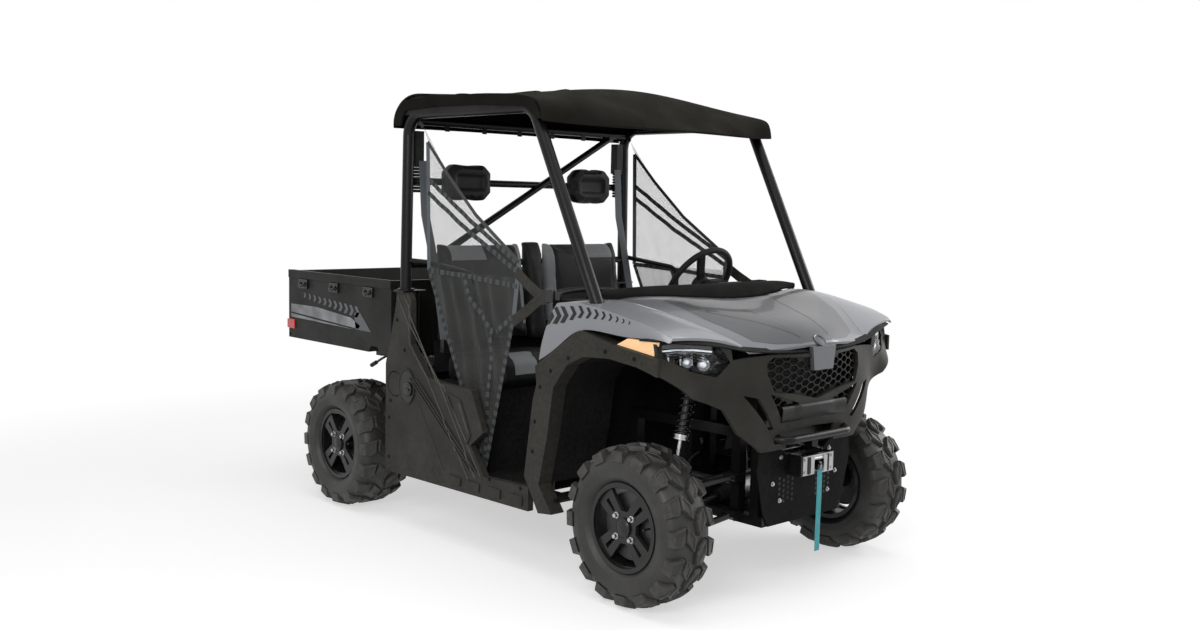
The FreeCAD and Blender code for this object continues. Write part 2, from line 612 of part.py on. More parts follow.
def arm(axle_x, pivot_z, ball_z, plate_y=None):
    """A wishbone: two bushes, two legs and a ball joint boss, with a shock fork if asked."""
    ball = point(axle_x, "-king_y", ball_z)
    boss_tall = size("boss_tall")
    legs = [Part.makeCylinder(size("boss_r"), boss_tall, ball - Vector(0, 0, boss_tall / 2))]
    bush_long = size("bush_long") - 2 * size("seat_gap")
    bore = Part.makeCylinder(size("stud_r") + size("stud_gap"), 2 * boss_tall,
                             ball - Vector(0, 0, boss_tall))
    for sign in (-1, 1):
        bush = point(axle_x, "-" + BUSH_Y, pivot_z)
        bush.x += sign * size("arm_spread")
        legs.append(Part.makeCylinder(size("bush_r") - size("seat_gap"), bush_long,
                                      bush - Vector(bush_long / 2, 0, 0), ALONG_X))
        run = (ball - bush).normalize()
        legs.append(straight(bush + run * size("bush_r") / 2, ball - run * size("boss_r") / 2,
                             size("arm_tube_r")))
    if plate_y:
        share = (size("king_y") - size(plate_y)) / (size("king_y") - size(BUSH_Y))
        eye_z = ball.z + share * (size(pivot_z) - ball.z) + shock_eye_up()
        half = share * size("arm_spread") + size("arm_tube_r") / 2
        thick = size("shock_plate")
        seat = eye_z - size("shock_eye_r") - 2
        deep = 2 * size("shock_eye_r")
        legs.append(Part.makeBox(2 * half, deep, thick,
                                 Vector(ball.x - half, -size(plate_y) - deep / 2, seat - thick)))
        for sign in (-1, 1):
            inner = size("shock_eye_w") / 2 + size("seat_gap")
            low_x = ball.x + inner if sign > 0 else ball.x - inner - size("ear_thick")
            legs.append(Part.makeBox(size("ear_thick"), deep, 2 * size("shock_eye_r"),
                                     Vector(low_x, -size(plate_y) - deep / 2, seat - 1)))
    return feature("Arm", fused(legs).cut(bore))


def shock_eye_up():
    return size("arm_tube_r / 2 + shock_eye_r + 2")


def suspension_arms(axle_x, plate_y):
    upper = arm(axle_x, "upper_pivot_z", UPPER_BALL_Z, plate_y)
    lower = arm(axle_x, "lower_pivot_z", LOWER_BALL_Z)
    return together([upper, lower, mirrored(upper), mirrored(lower)])


def shock(axle_x, top_y, top_z, low_y):
    """A coil-over damper between its two eyes, drawn along its own axis."""
    ball_z = size(UPPER_BALL_Z)
    share = (size("king_y") - size(low_y)) / (size("king_y") - size(BUSH_Y))
    low = point(axle_x, "-(%s)" % low_y, "0")
    low.z = ball_z + share * (size("upper_pivot_z") - ball_z) + shock_eye_up()
    top = point(axle_x, "-(%s)" % top_y, top_z)
    run = (top - low).normalize()
    long = (top - low).Length
    eye_r, eye_w = size("shock_eye_r") - 0.3, size("shock_eye_w")
    shapes = [Part.makeCylinder(eye_r, eye_w, end - Vector(eye_w / 2, 0, 0), ALONG_X)
              for end in (low, top)]
    collar = 0.42 * long
    shapes.append(straight(low, low + run * collar, size("shock_rod_r")))
    spring_long = long - eye_r - 26 - collar
    body_r, coil_r = size("shock_body_r"), size("coil_r")
    ring = [(0, 0), (coil_r, 0), (coil_r, 8)]
    turns = int(size("coil_turns"))
    for turn in range(turns):
        foot = 8 + (spring_long - 8) * turn / turns
        pitch = (spring_long - 8) / turns
        ring += [(body_r, foot + pitch * 0.2), (coil_r, foot + pitch * 0.45),
                 (coil_r, foot + pitch * 0.75)]
    neck = long - collar - eye_r + 4
    ring += [(body_r, spring_long), (eye_r, spring_long + 1), (eye_r, neck), (0, neck)]
    turned = Part.makePolygon([Vector(r, 0, z) for r, z in ring + ring[:1]])
    body = Part.Face(turned).revolve(Vector(), UPWARD, 360)
    body.Placement = FreeCAD.Placement(low + run * collar, FreeCAD.Rotation(UPWARD, run))
    shapes.append(body)
    return feature("Shock", fused(shapes))


def carrier(axle_x, outer_y):
    """The upright between two ball joints, with the axle joint's cup and the wheel's spindle."""
    centre = point(axle_x, "-king_y", AXLE_Z)
    gap = size("knuckle_gap") + size("boss_tall") / 2
    top = size(UPPER_BALL_Z) - gap
    low = size(LOWER_BALL_Z) + gap + size("knuckle_foot_up")
    post = Part.makeCylinder(size("knuckle_r"), top - low, Vector(centre.x, centre.y, low))
    stud_low = size(LOWER_BALL_Z) - size("boss_tall") / 2 + 2
    stud = Part.makeCylinder(size("stud_r"), top + size("stud_long") - stud_low,
                             Vector(centre.x, centre.y, stud_low))
    cup = Part.makeSphere(size("cup_r"), centre)
    disc_y = -(size(outer_y) - size("disc_out") - size("disc_thick"))
    hub_end = disc_y + size("hub_long")
    neck = Vector(centre.x, centre.y - size("cup_r") + 6, centre.z)
    collar = straight(neck, Vector(centre.x, hub_end + size("hub_face_gap"), centre.z),
                      size("hub_cap_r"))
    spindle = straight(neck, Vector(centre.x, disc_y - size("disc_thick") / 2 + 2, centre.z),
                       size("spindle_r"))
    hollow = Part.makeSphere(size("joint_ball_r + ball_gap"), centre)
    mouth = Part.makeCone(size("shaft_r") + 2, size("shaft_r") + 60, 50, centre, ALONG_Y)
    upright = fused([post, cup, collar, spindle]).cut(hollow).cut(mouth)
    return upright.fuse(stud.cut(Part.makeSphere(size("cup_r") - 1, centre))).removeSplitter()


def knuckle():
    """The front upright with the arm that the tie rod turns."""
    shape = carrier("front_axle_x", "front_outer_y")
    thick = size("steer_arm_thick")
    back = size("steer_arm_back")
    end = point("front_axle_x - steer_arm_back", "-king_y + steer_arm_in", "steer_arm_z")
    bar = Part.makeBox(back, 2 * size("tie_eye_r"), thick,
                       Vector(end.x, end.y - size("tie_eye_r"), end.z - thick / 2))
    tip = Part.makeCylinder(size("tie_eye_r"), thick, end - Vector(0, 0, thick / 2))
    ball = Part.makeSphere(size("joint_ball_r + ball_gap"),
                           point("front_axle_x", "-king_y", AXLE_Z))
    mouth = Part.makeCone(size("shaft_r") + 2, size("shaft_r") + 60, 50,
                          point("front_axle_x", "-king_y", AXLE_Z), ALONG_Y)
    return feature("Knuckle", shape.fuse(bar.fuse(tip).cut(ball).cut(mouth)).removeSplitter())


# Steering


def steering_rack():
    """Toothed bar and both tie rods, which slide sideways as one."""
    rack_x = "(front_axle_x - steer_arm_back)"
    rod_z = "(steer_arm_z + steer_arm_thick / 2 + tie_eye_gap + tie_rod_r + 2)"
    half = "(king_y - steer_arm_in)"
    long = rod(ALONG_Y, (rack_x, "-" + half, rod_z), "tie_rod_r", "2 * " + half)
    thick = rod(ALONG_Y, (rack_x, "-rack_half_w - 60", rod_z), "rack_rod_r",
                "2 * (rack_half_w + 60)")
    eye = rod(UPWARD, (rack_x, "-" + half, "steer_arm_z + steer_arm_thick / 2 + tie_eye_gap"),
              "tie_eye_r", "2 * tie_rod_r + 4")
    return joined([long, thick, eye, mirrored(eye)])


def steering_column():
    """Rack housing, intermediate shaft and the jacket that the wheel turns in."""
    rack_x = size("front_axle_x - steer_arm_back")
    rod_z = size("steer_arm_z + steer_arm_thick / 2 + tie_eye_gap + tie_rod_r + 2")
    half = size("rack_half_w")
    bore = Part.makeCylinder(size("rack_rod_r + rack_gap"), 4 * half,
                             Vector(rack_x, -2 * half, rod_z), ALONG_Y)
    housing = Part.makeCylinder(size("rack_r"), 2 * half, Vector(rack_x, -half, rod_z), ALONG_Y)
    lean = math.radians(size("column_lean"))
    axis = Vector(-math.cos(lean), 0, math.sin(lean))
    hub = point("wheel_hub_x", "wheel_hub_y", "wheel_hub_z")
    jacket_top = hub - axis * size("steer_hub_deep + column_gap")
    jacket_end = jacket_top - axis * size("column_long")
    pinion = Vector(rack_x, size("pinion_y"), rod_z + size("rack_r") - 3)
    shapes = [housing, straight(jacket_end, jacket_top, size("column_r")),
              straight(pinion, jacket_end + axis * 6, size("column_r") * 0.4)]
    feet_low = size(RAIL_TOP) + size("seat_gap")
    for sign in (-1, 1):
        foot_y = sign * (half - 12)
        shapes.append(Part.makeBox(2 * size("rack_r"), 24, rod_z - feet_low,
                                   Vector(rack_x - size("rack_r"), foot_y - 12, feet_low)))
        reach = size("rail_y") - half
        low_y = foot_y if sign > 0 else foot_y - reach - 12
        shapes.append(Part.makeBox(2 * size("rack_r"), reach + 12, 6,
                                   Vector(rack_x - size("rack_r"), low_y, feet_low)))
    return feature("SteeringColumn", fused(shapes).cut(bore))


def steering_wheel():
    """A rim on three spokes, drawn flat and leaned to the column."""
    rim = doc.addObject("Part::Torus", "Rim")
    rim.setExpression("Radius1", bound("steer_ring_r"))
    rim.setExpression("Radius2", bound("steer_grip_r"))
    hub = rod(UPWARD, ("0", "0", "-steer_hub_deep"), "steer_hub_r", "steer_hub_deep")
    spokes = []
    for angle in (90, 210, 330):
        spoke = block(("0", "steer_ring_r"), around("0", "steer_spoke_w"), ("-steer_hub_deep / 2",
                                                                         "0"))
        spoke.Placement.Rotation = FreeCAD.Rotation(UPWARD, angle)
        for letter, turn in (("x", "sin(%d)" % angle), ("y", "-cos(%d)" % angle)):
            spoke.setExpression(".Placement.Base." + letter, bound("%s * steer_spoke_w / 2" % turn))
        spokes.append(spoke)
    wheel = joined([rim, hub] + spokes)
    wheel.Placement.Rotation = FreeCAD.Rotation(ALONG_Y, size("column_lean - 90"))
    return place(wheel, "wheel_hub_x", "wheel_hub_y", "wheel_hub_z")


# Wheels


def tyre(width, rim_width):
    """A hollow carcass on the rim's bead seats, with the lugs of its tread fused on."""
    half = "(%s / 2)" % width
    seat = "(%s / 2 - rim_edge - bead_gap)" % rim_width
    bead = "bead_r + bead_gap"
    crown = "tyre_tip_r - lug_tall"
    wall = [
        (seat, bead), (seat + " + tyre_wall / 2 - rim_edge / 2", "rim_flange_r + 4 * bead_gap"),
        (half + " - 4", "0.66 * tyre_tip_r"), (half, "0.77 * tyre_tip_r"),
        (half + " - 9", "0.865 * tyre_tip_r"), (half + " - 30", crown + " - 8"),
        (half + " * 0.5", crown),
    ]
    cavity = [
        (half + " * 0.5", crown + " - tyre_wall"),
        (half + " - 18 - tyre_wall", "0.83 * tyre_tip_r"),
        (half + " - tyre_wall", "0.77 * tyre_tip_r"),
        (half + " - 4 - tyre_wall", "0.66 * tyre_tip_r"), (seat + " - tyre_wall", bead),
    ]
    corners = [("-(%s)" % across, up) for across, up in wall] + wall[::-1]
    corners += cavity[::-1] + [("-(%s)" % across, up) for across, up in cavity]
    body = new_body("Carcass")
    revolve(body, "YZ_Plane", corners, "H_Axis")
    tyre_whole = joined([body, feature("Lugs", tread(size(width) / 2))])
    tyre_whole.Refine = False
    return tyre_whole


# Outlines of the two kinds of block: share of the tyre's half width, share of a pitch
CENTRE_BLOCK = ((0.03, 0.40), (0.42, 0.0), (0.51, 0.32), (0.50, 0.46), (0.12, 0.82))
SHOULDER_BLOCK = ((0.56, 0.0), (0.985, 0.10), (0.985, 0.60), (0.72, 0.62), (0.58, 0.44))
# How steeply a shoulder block's top and its foot fall toward the sidewall
TOP_FALL, FOOT_FALL = 0.34, 0.70


def lug(ring, top_fall, foot_fall):
    """A block of rubber that reaches from the tip circle into the carcass."""
    tip = size("tyre_tip_r")
    top = tip ** 2 / max(math.hypot(along, tip) for along, across in ring)
    near = min(abs(across) for along, across in ring)
    rings = []
    for height, fall in ((top, top_fall), (top - size("lug_tall + lug_sunk"), foot_fall)):
        places = [Vector(along, across, height - fall * (abs(across) - near))
                  for along, across in ring]
        rings.append(Part.makePolygon(places + places[:1]))
    return Part.makeLoft(rings, True, True)


def tread(half):
    """Two rings of slanted blocks, half a pitch apart: one by the middle, one on the shoulder."""
    count = int(size("lug_pitches"))
    pitch_deg = 360 / count
    pitch = math.radians(pitch_deg) * size("tyre_tip_r")
    shapes = []
    for side, start in ((1, 0), (-1, 0.5)):
        for corners, top_fall, foot_fall in ((CENTRE_BLOCK, 0, 0),
                                             (SHOULDER_BLOCK, TOP_FALL, FOOT_FALL)):
            middle = sum(along for across, along in corners) / len(corners)
            ring = [((along - middle) * pitch, side * across * half) for across, along in corners]
            piece = lug(ring, top_fall, foot_fall)
            for turn in range(count):
                turned = piece.copy()
                turned.rotate(Vector(), ALONG_Y, 180 + (turn + start + middle) * pitch_deg)
                shapes.append(turned)
    return Part.makeCompound(shapes)


def rim(rim_width, tyre_width, side):
    """Barrel, disc, hub and cap in one casting, with windows between split spokes."""
    edge = "(%s / 2)" % rim_width
    disc_out = "(%s / 2 - disc_out)" % tyre_width
    disc_in = "(%s / 2 - disc_out - disc_thick)" % tyre_width
    hub_end = "(%s / 2 - disc_out - disc_thick - hub_long)" % tyre_width
    inside = "bead_r - rim_wall"
    bore = "spindle_r + spindle_gap"
    corners = [
        (disc_out + " + hub_cap_tall", "0"), (disc_out + " + hub_cap_tall", "hub_cap_r"),
        (disc_out, "hub_cap_r + 3"), (disc_out, inside), (edge, inside),
        (edge, "rim_flange_r"), (edge + " - rim_lip", "rim_flange_r"),
        (edge + " - rim_edge", "bead_r"), ("-(%s - rim_edge)" % edge, "bead_r"),
        ("-(%s - rim_lip)" % edge, "rim_flange_r"), ("-" + edge, "rim_flange_r"),
        ("-" + edge, inside), (disc_in, inside), (disc_in, "hub_r"), (hub_end, "hub_r"),
        (hub_end, bore), (disc_in + " + disc_thick / 2", bore),
        (disc_in + " + disc_thick / 2", "0"),
    ]
    # The disc faces outward: to -Y on the right-hand side of the vehicle
    if side == "right":
        corners = [("-(%s)" % across, up) for across, up in corners]
    body = new_body("Rim")
    revolve(body, "YZ_Plane", corners, "H_Axis")
    window = [("spoke_half_w", "hub_r + 14"), ("window_w", "bead_r - rim_wall - 16"),
              ("0", "bead_r - rim_wall - 6"), ("-window_w", "bead_r - rim_wall - 16"),
              ("-spoke_half_w", "hub_r + 14")]
    cut_ring(body, window, disc_in, disc_out, side)
    slot = [("slot_half_w", "hub_r + slot_in"), ("1.8 * slot_half_w", "bead_r - rim_wall - slot_out"),
            ("-1.8 * slot_half_w", "bead_r - rim_wall - slot_out"),
            ("-slot_half_w", "hub_r + slot_in")]
    cut_ring(body, [eighth_turn(corner) for corner in slot], disc_in, disc_out, side)
    return body


def eighth_turn(corner):
    """A corner turned by 45 degrees, from a window's middle to a spoke's."""
    across, up = corner
    return "sqrt(0.5) * ((%s) - (%s))" % (across, up), "sqrt(0.5) * ((%s) + (%s))" % (across, up)


def cut_ring(body, window, low, high, side):
    """A window through the disc, repeated round the wheel."""
    near, far = ("(%s) - 2" % low, "(%s) + 2" % high)
    if side == "left":
        near, far = "-(%s)" % far, "-(%s)" % near
    sketch = outline(body, "XZ_Plane", window, near)
    step = extrude(body, "Pocket", sketch, "(%s) - (%s)" % (far, near), True)
    doc.recompute()
    ring = body.newObject("PartDesign::PolarPattern", "Windows")
    ring.Originals = [step]
    ring.Axis = ([part for part in body.Origin.OriginFeatures if part.Role == "Y_Axis"][0], [""])
    ring.Angle = 360
    ring.setExpression("Occurrences", bound("spoke_count"))
    body.Tip = ring
    return ring


def wheels():
    for label, axle_x, outer, width, rim_w in (
            ("front", "front_axle_x", "front_outer_y", "front_tyre_w", "front_rim_w"),
            ("rear", REAR_AXLE, "rear_outer_y", "rear_tyre_w", "rear_rim_w")):
        for side, sign in (("right", "-"), ("left", "")):
            middle_y = "%s(%s - %s / 2)" % (sign, outer, width)
            node("tyre_%s_%s" % (label, side), place(tyre(width, rim_w), axle_x, middle_y, AXLE_Z))
            node("rim_%s_%s" % (label, side), place(rim(rim_w, width, side), axle_x, middle_y,
                                                    AXLE_Z))


# Roll cage and roof


def rops_sides():
    """Rear post, roof rail and windscreen pillar of one side, bent from a single tube."""
    tube = bent_tube([point("post_x", "-post_y", "post_foot_z + flange_thick / 2"),
                      point("post_x", "-roof_tube_y", "rail_tube_z"),
                      point("pillar_top_x", "-pillar_top_y", "rail_tube_z"),
                      point("pillar_foot_x", "-pillar_foot_y", "pillar_foot_z")],
                     size("post_r"), size("cage_bend"))
    rear_foot = Part.makeCylinder(size("flange_half") - 3, size("flange_thick"),
                                  point("post_x", "-post_y", "post_foot_z"))
    front_foot = Part.makeCylinder(size("pillar_flange_r") - 1, size("flange_thick"),
                                   point("pillar_foot_x", "-pillar_foot_y", "pillar_foot_z"))
    below = Part.makeBox(400, 400, 100, point("pillar_foot_x", "-pillar_foot_y", "pillar_foot_z")
                         - Vector(200, 200, 100))
    return pair(feature("RopsSide", fused([tube, rear_foot, front_foot]).cut(below)))


def rops_crossbars():
    """Top bar with its tabs, back bar, headrest bar and the slanting brace, welded into one."""
    bend = size("cage_bend") * (1 - math.sqrt(0.5))
    top = point("post_x", "0", "rail_tube_z") + Vector(bend, 0, -bend)
    off = size("post_r + seat_gap")
    half_top = size("roof_tube_y") - off
    r = size("cross_tube_r")
    shapes = [Part.makeCylinder(r, 2 * half_top, top - Vector(0, half_top, 0), ALONG_Y)]

    def post_y_at(z):
        share = (z - size("post_foot_z")) / (size("rail_tube_z") - size("post_foot_z"))
        return size("post_y") + share * (size("roof_tube_y") - size("post_y"))

    for height in ("back_bar_z", "rest_bar_z"):
        z = size(height)
        half = post_y_at(z) - off
        shapes.append(Part.makeCylinder(size("brace_r"), 2 * half,
                                        Vector(size("post_x"), -half, z), ALONG_Y))
    for y in (-310, 0, 310):
        shapes.append(Part.makeBox(size("back_pad_reach"), 40, 30,
                                   Vector(size("post_x"), y - 20, size("back_bar_z") - 15)))
    brace_half = size("brace_half_w")
    shapes.append(straight(Vector(size("post_x"), -brace_half, size("back_bar_z")),
                           Vector(size("post_x"), brace_half, top.z - 6) + Vector(bend, 0, 0),
                           size("brace_r")))
    for share in (-0.78, -0.45, -0.12, 0.2, 0.52, 0.82):
        shapes.append(Part.makeBox(size("tab_thick"), size("tab_w"), size("tab_tall"),
                                   top + Vector(r - 2 * size("tab_thick"), share * half_top,
                                                -size("tab_tall") - r / 3)))
    return feature("RopsCrossbars", fused(shapes))


def roof_panel():
    """A crowned panel with a visor that bows forward, skirts beside the tubes, and its pads."""
    side, mid, centre = size("roof_half_w"), size("roof_half_w") * 0.6, 0
    top = size("roof_side_z")
    crown = size("roof_crown")
    rear, rear_z = size("roof_rear_x"), size("roof_rear_z")
    fold, visor, corner = size("roof_break_x"), size("visor_x"), size("visor_corner_x")
    visor_z = size("visor_z")
    rows = [both_sides(row) for row in (
        [(rear, -side, rear_z), (rear, -mid, rear_z + 4), (rear, centre, rear_z + 6)],
        [(rear + 15, -side, rear_z + 62), (rear + 13, -mid, rear_z + 72),
         (rear + 12, centre, rear_z + 80)],
        [(rear + 70, -side, top - 2), (rear + 66, -mid, top + 12), (rear + 62, centre, top + 22)],
        [(-100, -side, top + 10), (-100, -mid, top + 26), (-100, centre, top + crown)],
        [(200, -side, top + 1), (200, -mid, top + 24), (200, centre, top + crown + 8)],
        [(fold, -side, top - 16), (fold, -mid, top + 12), (fold, centre, top + crown)],
        [(corner - 40, -side, top - 34), (corner, -mid, top - 30), (corner + 20, centre,
                                                                    top - 36)],
        [(corner + 8, -side, visor_z + 16), (corner + 90, -mid, visor_z + 4),
         (visor, centre, visor_z)],
    )]
    shell = skin(rows, Vector(0, 0, -size("roof_thick")))
    shapes = [shell]
    skirt = size("roof_skirt")
    edge = [(rear, rear_z), (rear + 15, rear_z + 60), (rear + 70, top - 4), (-100, top + 8),
            (200, top - 1), (fold, top - 18), (corner - 40, top - 37), (corner + 6, visor_z + 15)]
    lower = [(corner - 20, visor_z + 15), (fold + 30, top - 18 - skirt), (200, top - skirt),
             (-100, top + 4 - skirt), (rear + 90, top - skirt - 4), (rear + 66, rear_z + 40),
             (rear + 52, rear_z)]
    ring = [Vector(x, -side, z) for x, z in edge + lower]
    face = Part.Face(Part.makePolygon(ring + ring[:1]))
    for flip in (1, -1):
        band = face.extrude(Vector(0, size("roof_thick"), 0))
        shapes.append(band if flip > 0 else band.mirror(Vector(), ALONG_Y))
        for pad_x, tall in ((-150, 34), (250, 30)):
            low = size("rail_tube_z + post_r + seat_gap")
            shapes.append(Part.makeBox(60, 30, tall, Vector(
                pad_x, -flip * size("roof_tube_y") - 15, low)))
    return feature("Roof", fused(shapes))


# Cargo bed


def cargo_bed():
    """A box with a notch over each wheel, open at the tail, on two hinge lugs."""
    body = plate("CargoBed", "XZ_Plane", [
        ("bed_rear_x", "bed_low_z"), ("bed_notch_x - 46", "bed_low_z"),
        ("bed_notch_x - 28", "bed_low_z + bed_notch"), ("bed_notch_x + 28", "bed_low_z + bed_notch"),
        ("bed_notch_x + 46", "bed_low_z"), ("bed_front_x", "bed_low_z"),
        ("bed_front_x", "bed_top_z"), ("bed_rear_x", "bed_top_z"),
    ], "-bed_half_w", "bed_half_w")
    inner = "(bed_half_w - bed_wall)"
    pocket(body, "XY_Plane", [
        ("bed_rear_x - 1", "-" + inner), ("bed_front_x - bed_wall", "-" + inner),
        ("bed_front_x - bed_wall", inner), ("bed_rear_x - 1", inner),
    ], "bed_low_z + bed_floor", "bed_top_z + 1")
    gate_room = "(bed_rear_x + gate_thick + 2 * gate_gap)"
    pocket(body, "XY_Plane", [
        ("bed_rear_x - 1", "-" + inner), (gate_room, "-" + inner),
        (gate_room, inner), ("bed_rear_x - 1", inner),
    ], "bed_low_z - 1", "bed_top_z + 1")
    pin_hole = rod(ALONG_Y, (GATE_X, "-bed_half_w - 1", GATE_Z), "gate_hinge_r + pivot_gap",
                   "2 * bed_half_w + 2")
    ear_in = "(%s + pivot_ear_thick + pivot_ear_gap)" % TOWER_OUT
    ear_out = "-%s - pivot_ear_thick" % ear_in
    ear = block(around("pivot_x", "4 * pivot_pin_r"), (ear_out, "-" + ear_in),
                ("pivot_z - 2 * pivot_pin_r", "bed_low_z"))
    pin = rod(ALONG_Y, ("pivot_x", ear_out, "pivot_z"), "pivot_pin_r",
              "pivot_ear_gap + 2 * pivot_ear_thick")
    return cut(joined([body, ear, pin, mirrored(ear), mirrored(pin)]), pin_hole)


GATE_X = "(bed_rear_x + gate_thick / 2)"
GATE_Z = "(bed_low_z + gate_thick / 2 + 4)"


def tailgate():
    """The drop-down end of the bed, on a round foot with a pin at each end."""
    half = "(bed_half_w - bed_wall - gate_gap)"
    body = plate("Tailgate", "XZ_Plane", [
        ("bed_rear_x", GATE_Z), ("bed_rear_x + gate_thick", GATE_Z),
        ("bed_rear_x + gate_thick", "bed_top_z - 4"), ("bed_rear_x", "bed_top_z - 4"),
    ], "-" + half, half)
    foot = rod(ALONG_Y, (GATE_X, "-" + half, GATE_Z), "gate_thick / 2", "2 * " + half)
    pins = rod(ALONG_Y, (GATE_X, "-(bed_half_w - 4)", GATE_Z), "gate_hinge_r",
               "2 * (bed_half_w - 4)")
    latch = block(("bed_rear_x - latch_proud", "bed_rear_x"),
                  ("-%s + 6" % half, "-%s + 6 + latch_w" % half),
                  ("latch_z - latch_w / 2", "latch_z + latch_w"))
    return joined([body, foot, pins, latch, mirrored(latch)])


def tail_lamps():
    body = plate("TailLamp", "XY_Plane", [
        ("bed_rear_x + lamp_wide", "-bed_half_w - seat_gap"),
        ("bed_rear_x + lamp_wide", "-bed_half_w - lamp_proud"),
        ("bed_rear_x - lamp_proud", "-bed_half_w - lamp_proud"),
        ("bed_rear_x - lamp_proud", "-bed_half_w + bed_wall - 1"),
        ("bed_rear_x - seat_gap", "-bed_half_w + bed_wall - 1"),
        ("bed_rear_x - seat_gap", "-bed_half_w - seat_gap"),
    ], "lamp_low_z", "lamp_low_z + lamp_tall")
    return pair(body)


# Cab


def floor_pan():
    """Floor with a tunnel over the drive shaft, and the toe board in front of the feet."""
    top = " + floor_thick"
    body = plate("Floor", "YZ_Plane", both_edges([
        ("0", "tunnel_top_z"), ("tunnel_half_w", "tunnel_top_z"),
        ("tunnel_half_w + 14", "floor_z"), ("floor_half_w", "floor_z"),
        ("floor_half_w", "floor_z" + top), ("tunnel_half_w + 20", "floor_z" + top),
        ("tunnel_half_w + 6", "tunnel_top_z" + top), ("0", "tunnel_top_z" + top),
    ]), "floor_rear_x", "toe_low_x")
    board = plate("ToeBoard", "XZ_Plane", [
        ("toe_low_x - floor_thick", "floor_z"), ("toe_low_x", "floor_z"),
        ("toe_high_x", "toe_top_z"), ("toe_high_x - floor_thick", "toe_top_z"),
    ], "-floor_half_w", "floor_half_w")
    shaft_way = rod(ALONG_X, ("toe_low_x - 60", "0", "prop_z"), "prop_r + 10", "160")
    return cut(joined([body, board]), shaft_way)


def side_panels():
    """Rear quarter beside the seat with its slanted ribs, and the sill under the doorway."""
    body = plate("SidePanel", "XZ_Plane", [
        ("panel_rear_x", "panel_low_z"), ("sill_end_x", "panel_low_z + 14"),
        ("sill_end_x", "sill_top_z"), ("band_foot_x", "sill_top_z - 12"),
        ("half_door_x - 84", "half_door_z - 162"), ("half_door_x", "half_door_z - 96"),
        ("half_door_x - 84", "half_door_top_z"), ("half_door_x - 289", "half_door_top_z + 4"),
        ("kink_x", "kink_z"), ("kink_x - 128", "kink_z + 132"),
        ("post_x + 68", "post_foot_z - 38"), ("post_x + 42", "post_foot_z - flange_thick - seat_gap"),
        ("post_x - 44", "post_foot_z - flange_thick - seat_gap"), ("post_x - 48", "post_foot_z - 60"),
        ("panel_rear_x + 40", "kink_z + 150"), ("panel_rear_x", "kink_z + 25"),
    ], "panel_in_y", "panel_out_y")
    for step in ("0", "1", "2"):
        shift = "+ %s * rib_pitch" % step
        pad(body, "XZ_Plane", [
            ("kink_x - 64 - 3 * rib_pitch " + shift, "kink_z - 20"),
            ("kink_x - 64 - 3 * rib_pitch + rib_wide " + shift, "kink_z - 20"),
            ("band_foot_x - 30 - 3 * rib_pitch + rib_wide " + shift, "sill_top_z"),
            ("band_foot_x - 30 - 3 * rib_pitch " + shift, "sill_top_z"),
        ], "panel_out_y", "panel_out_y + rib_proud")
    recess = ring_sketch(body, "XZ_Plane", "cap_x", "cap_z", "cap_recess_r",
                         "panel_out_y - cap_deep")
    extrude(body, "Pocket", recess, "cap_deep + 1", True)
    cap = ring_sketch(body, "XZ_Plane", "cap_x", "cap_z", "cap_r", "panel_out_y - cap_deep - 1")
    extrude(body, "Pad", cap, "cap_deep - 3")
    return pair(body)


def seat_base():
    """The moulded riser under the cushions, open behind."""
    outer = [("seat_base_rear_x", "-seat_base_half_w"), ("seat_front_x", "-seat_base_half_w"),
             ("seat_front_x", "seat_base_half_w"), ("seat_base_rear_x", "seat_base_half_w")]
    body = plate("SeatBase", "XY_Plane", outer, "floor_z + floor_thick + seat_gap",
                 "seat_base_top_z")
    inner = [("seat_base_rear_x - 1", "-seat_base_half_w + seat_wall"),
             ("seat_front_x - seat_wall", "-seat_base_half_w + seat_wall"),
             ("seat_front_x - seat_wall", "seat_base_half_w - seat_wall"),
             ("seat_base_rear_x - 1", "seat_base_half_w - seat_wall")]
    pocket(body, "XY_Plane", inner, "floor_z", "seat_base_top_z - seat_wall")
    tunnel_way = block(("seat_front_x - seat_wall - 1", "seat_front_x + 1"),
                       around("0", "2 * (tunnel_half_w + 26)"),
                       ("floor_z", "tunnel_top_z + floor_thick + 4"))
    return cut(body, tunnel_way)


PAD_EDGES = (("-seat_base_half_w + pad_inset", "-narrow_half_w - seat_gap"),
             ("-narrow_half_w", "narrow_half_w"),
             ("narrow_half_w + seat_gap", "seat_base_half_w - pad_inset"))


def seat_cushions():
    """Driver's pad, narrow middle pad and passenger's pad, each a plain crowned block."""
    pads = []
    for low, high in PAD_EDGES:
        body = plate("Cushion", "XZ_Plane", [
            ("cushion_rear_x", "seat_base_top_z + seat_gap"),
            ("seat_front_x", "seat_base_top_z + seat_gap"),
            ("cushion_front_x", "seat_base_top_z + 30"),
            ("cushion_front_x - 10", "cushion_top_z - 24"),
            ("cushion_front_x - 60", "cushion_top_z"), ("cushion_rear_x", "cushion_top_z - 35"),
        ], low, high)
        pads.append(body)
    return together(pads)


def seat_backs():
    pads = []
    for low, high in PAD_EDGES:
        body = plate("SeatBack", "XZ_Plane", [
            ("back_low_x - back_thick", "back_low_z"), ("back_low_x", "back_low_z"),
            ("back_low_x - back_lean + 10", "back_top_z - 60"),
            ("back_low_x - back_lean - 20", "back_top_z"),
            ("back_low_x - back_lean - back_thick + 52", "back_top_z"),
        ], low, high)
        pads.append(body)
    return together(pads)


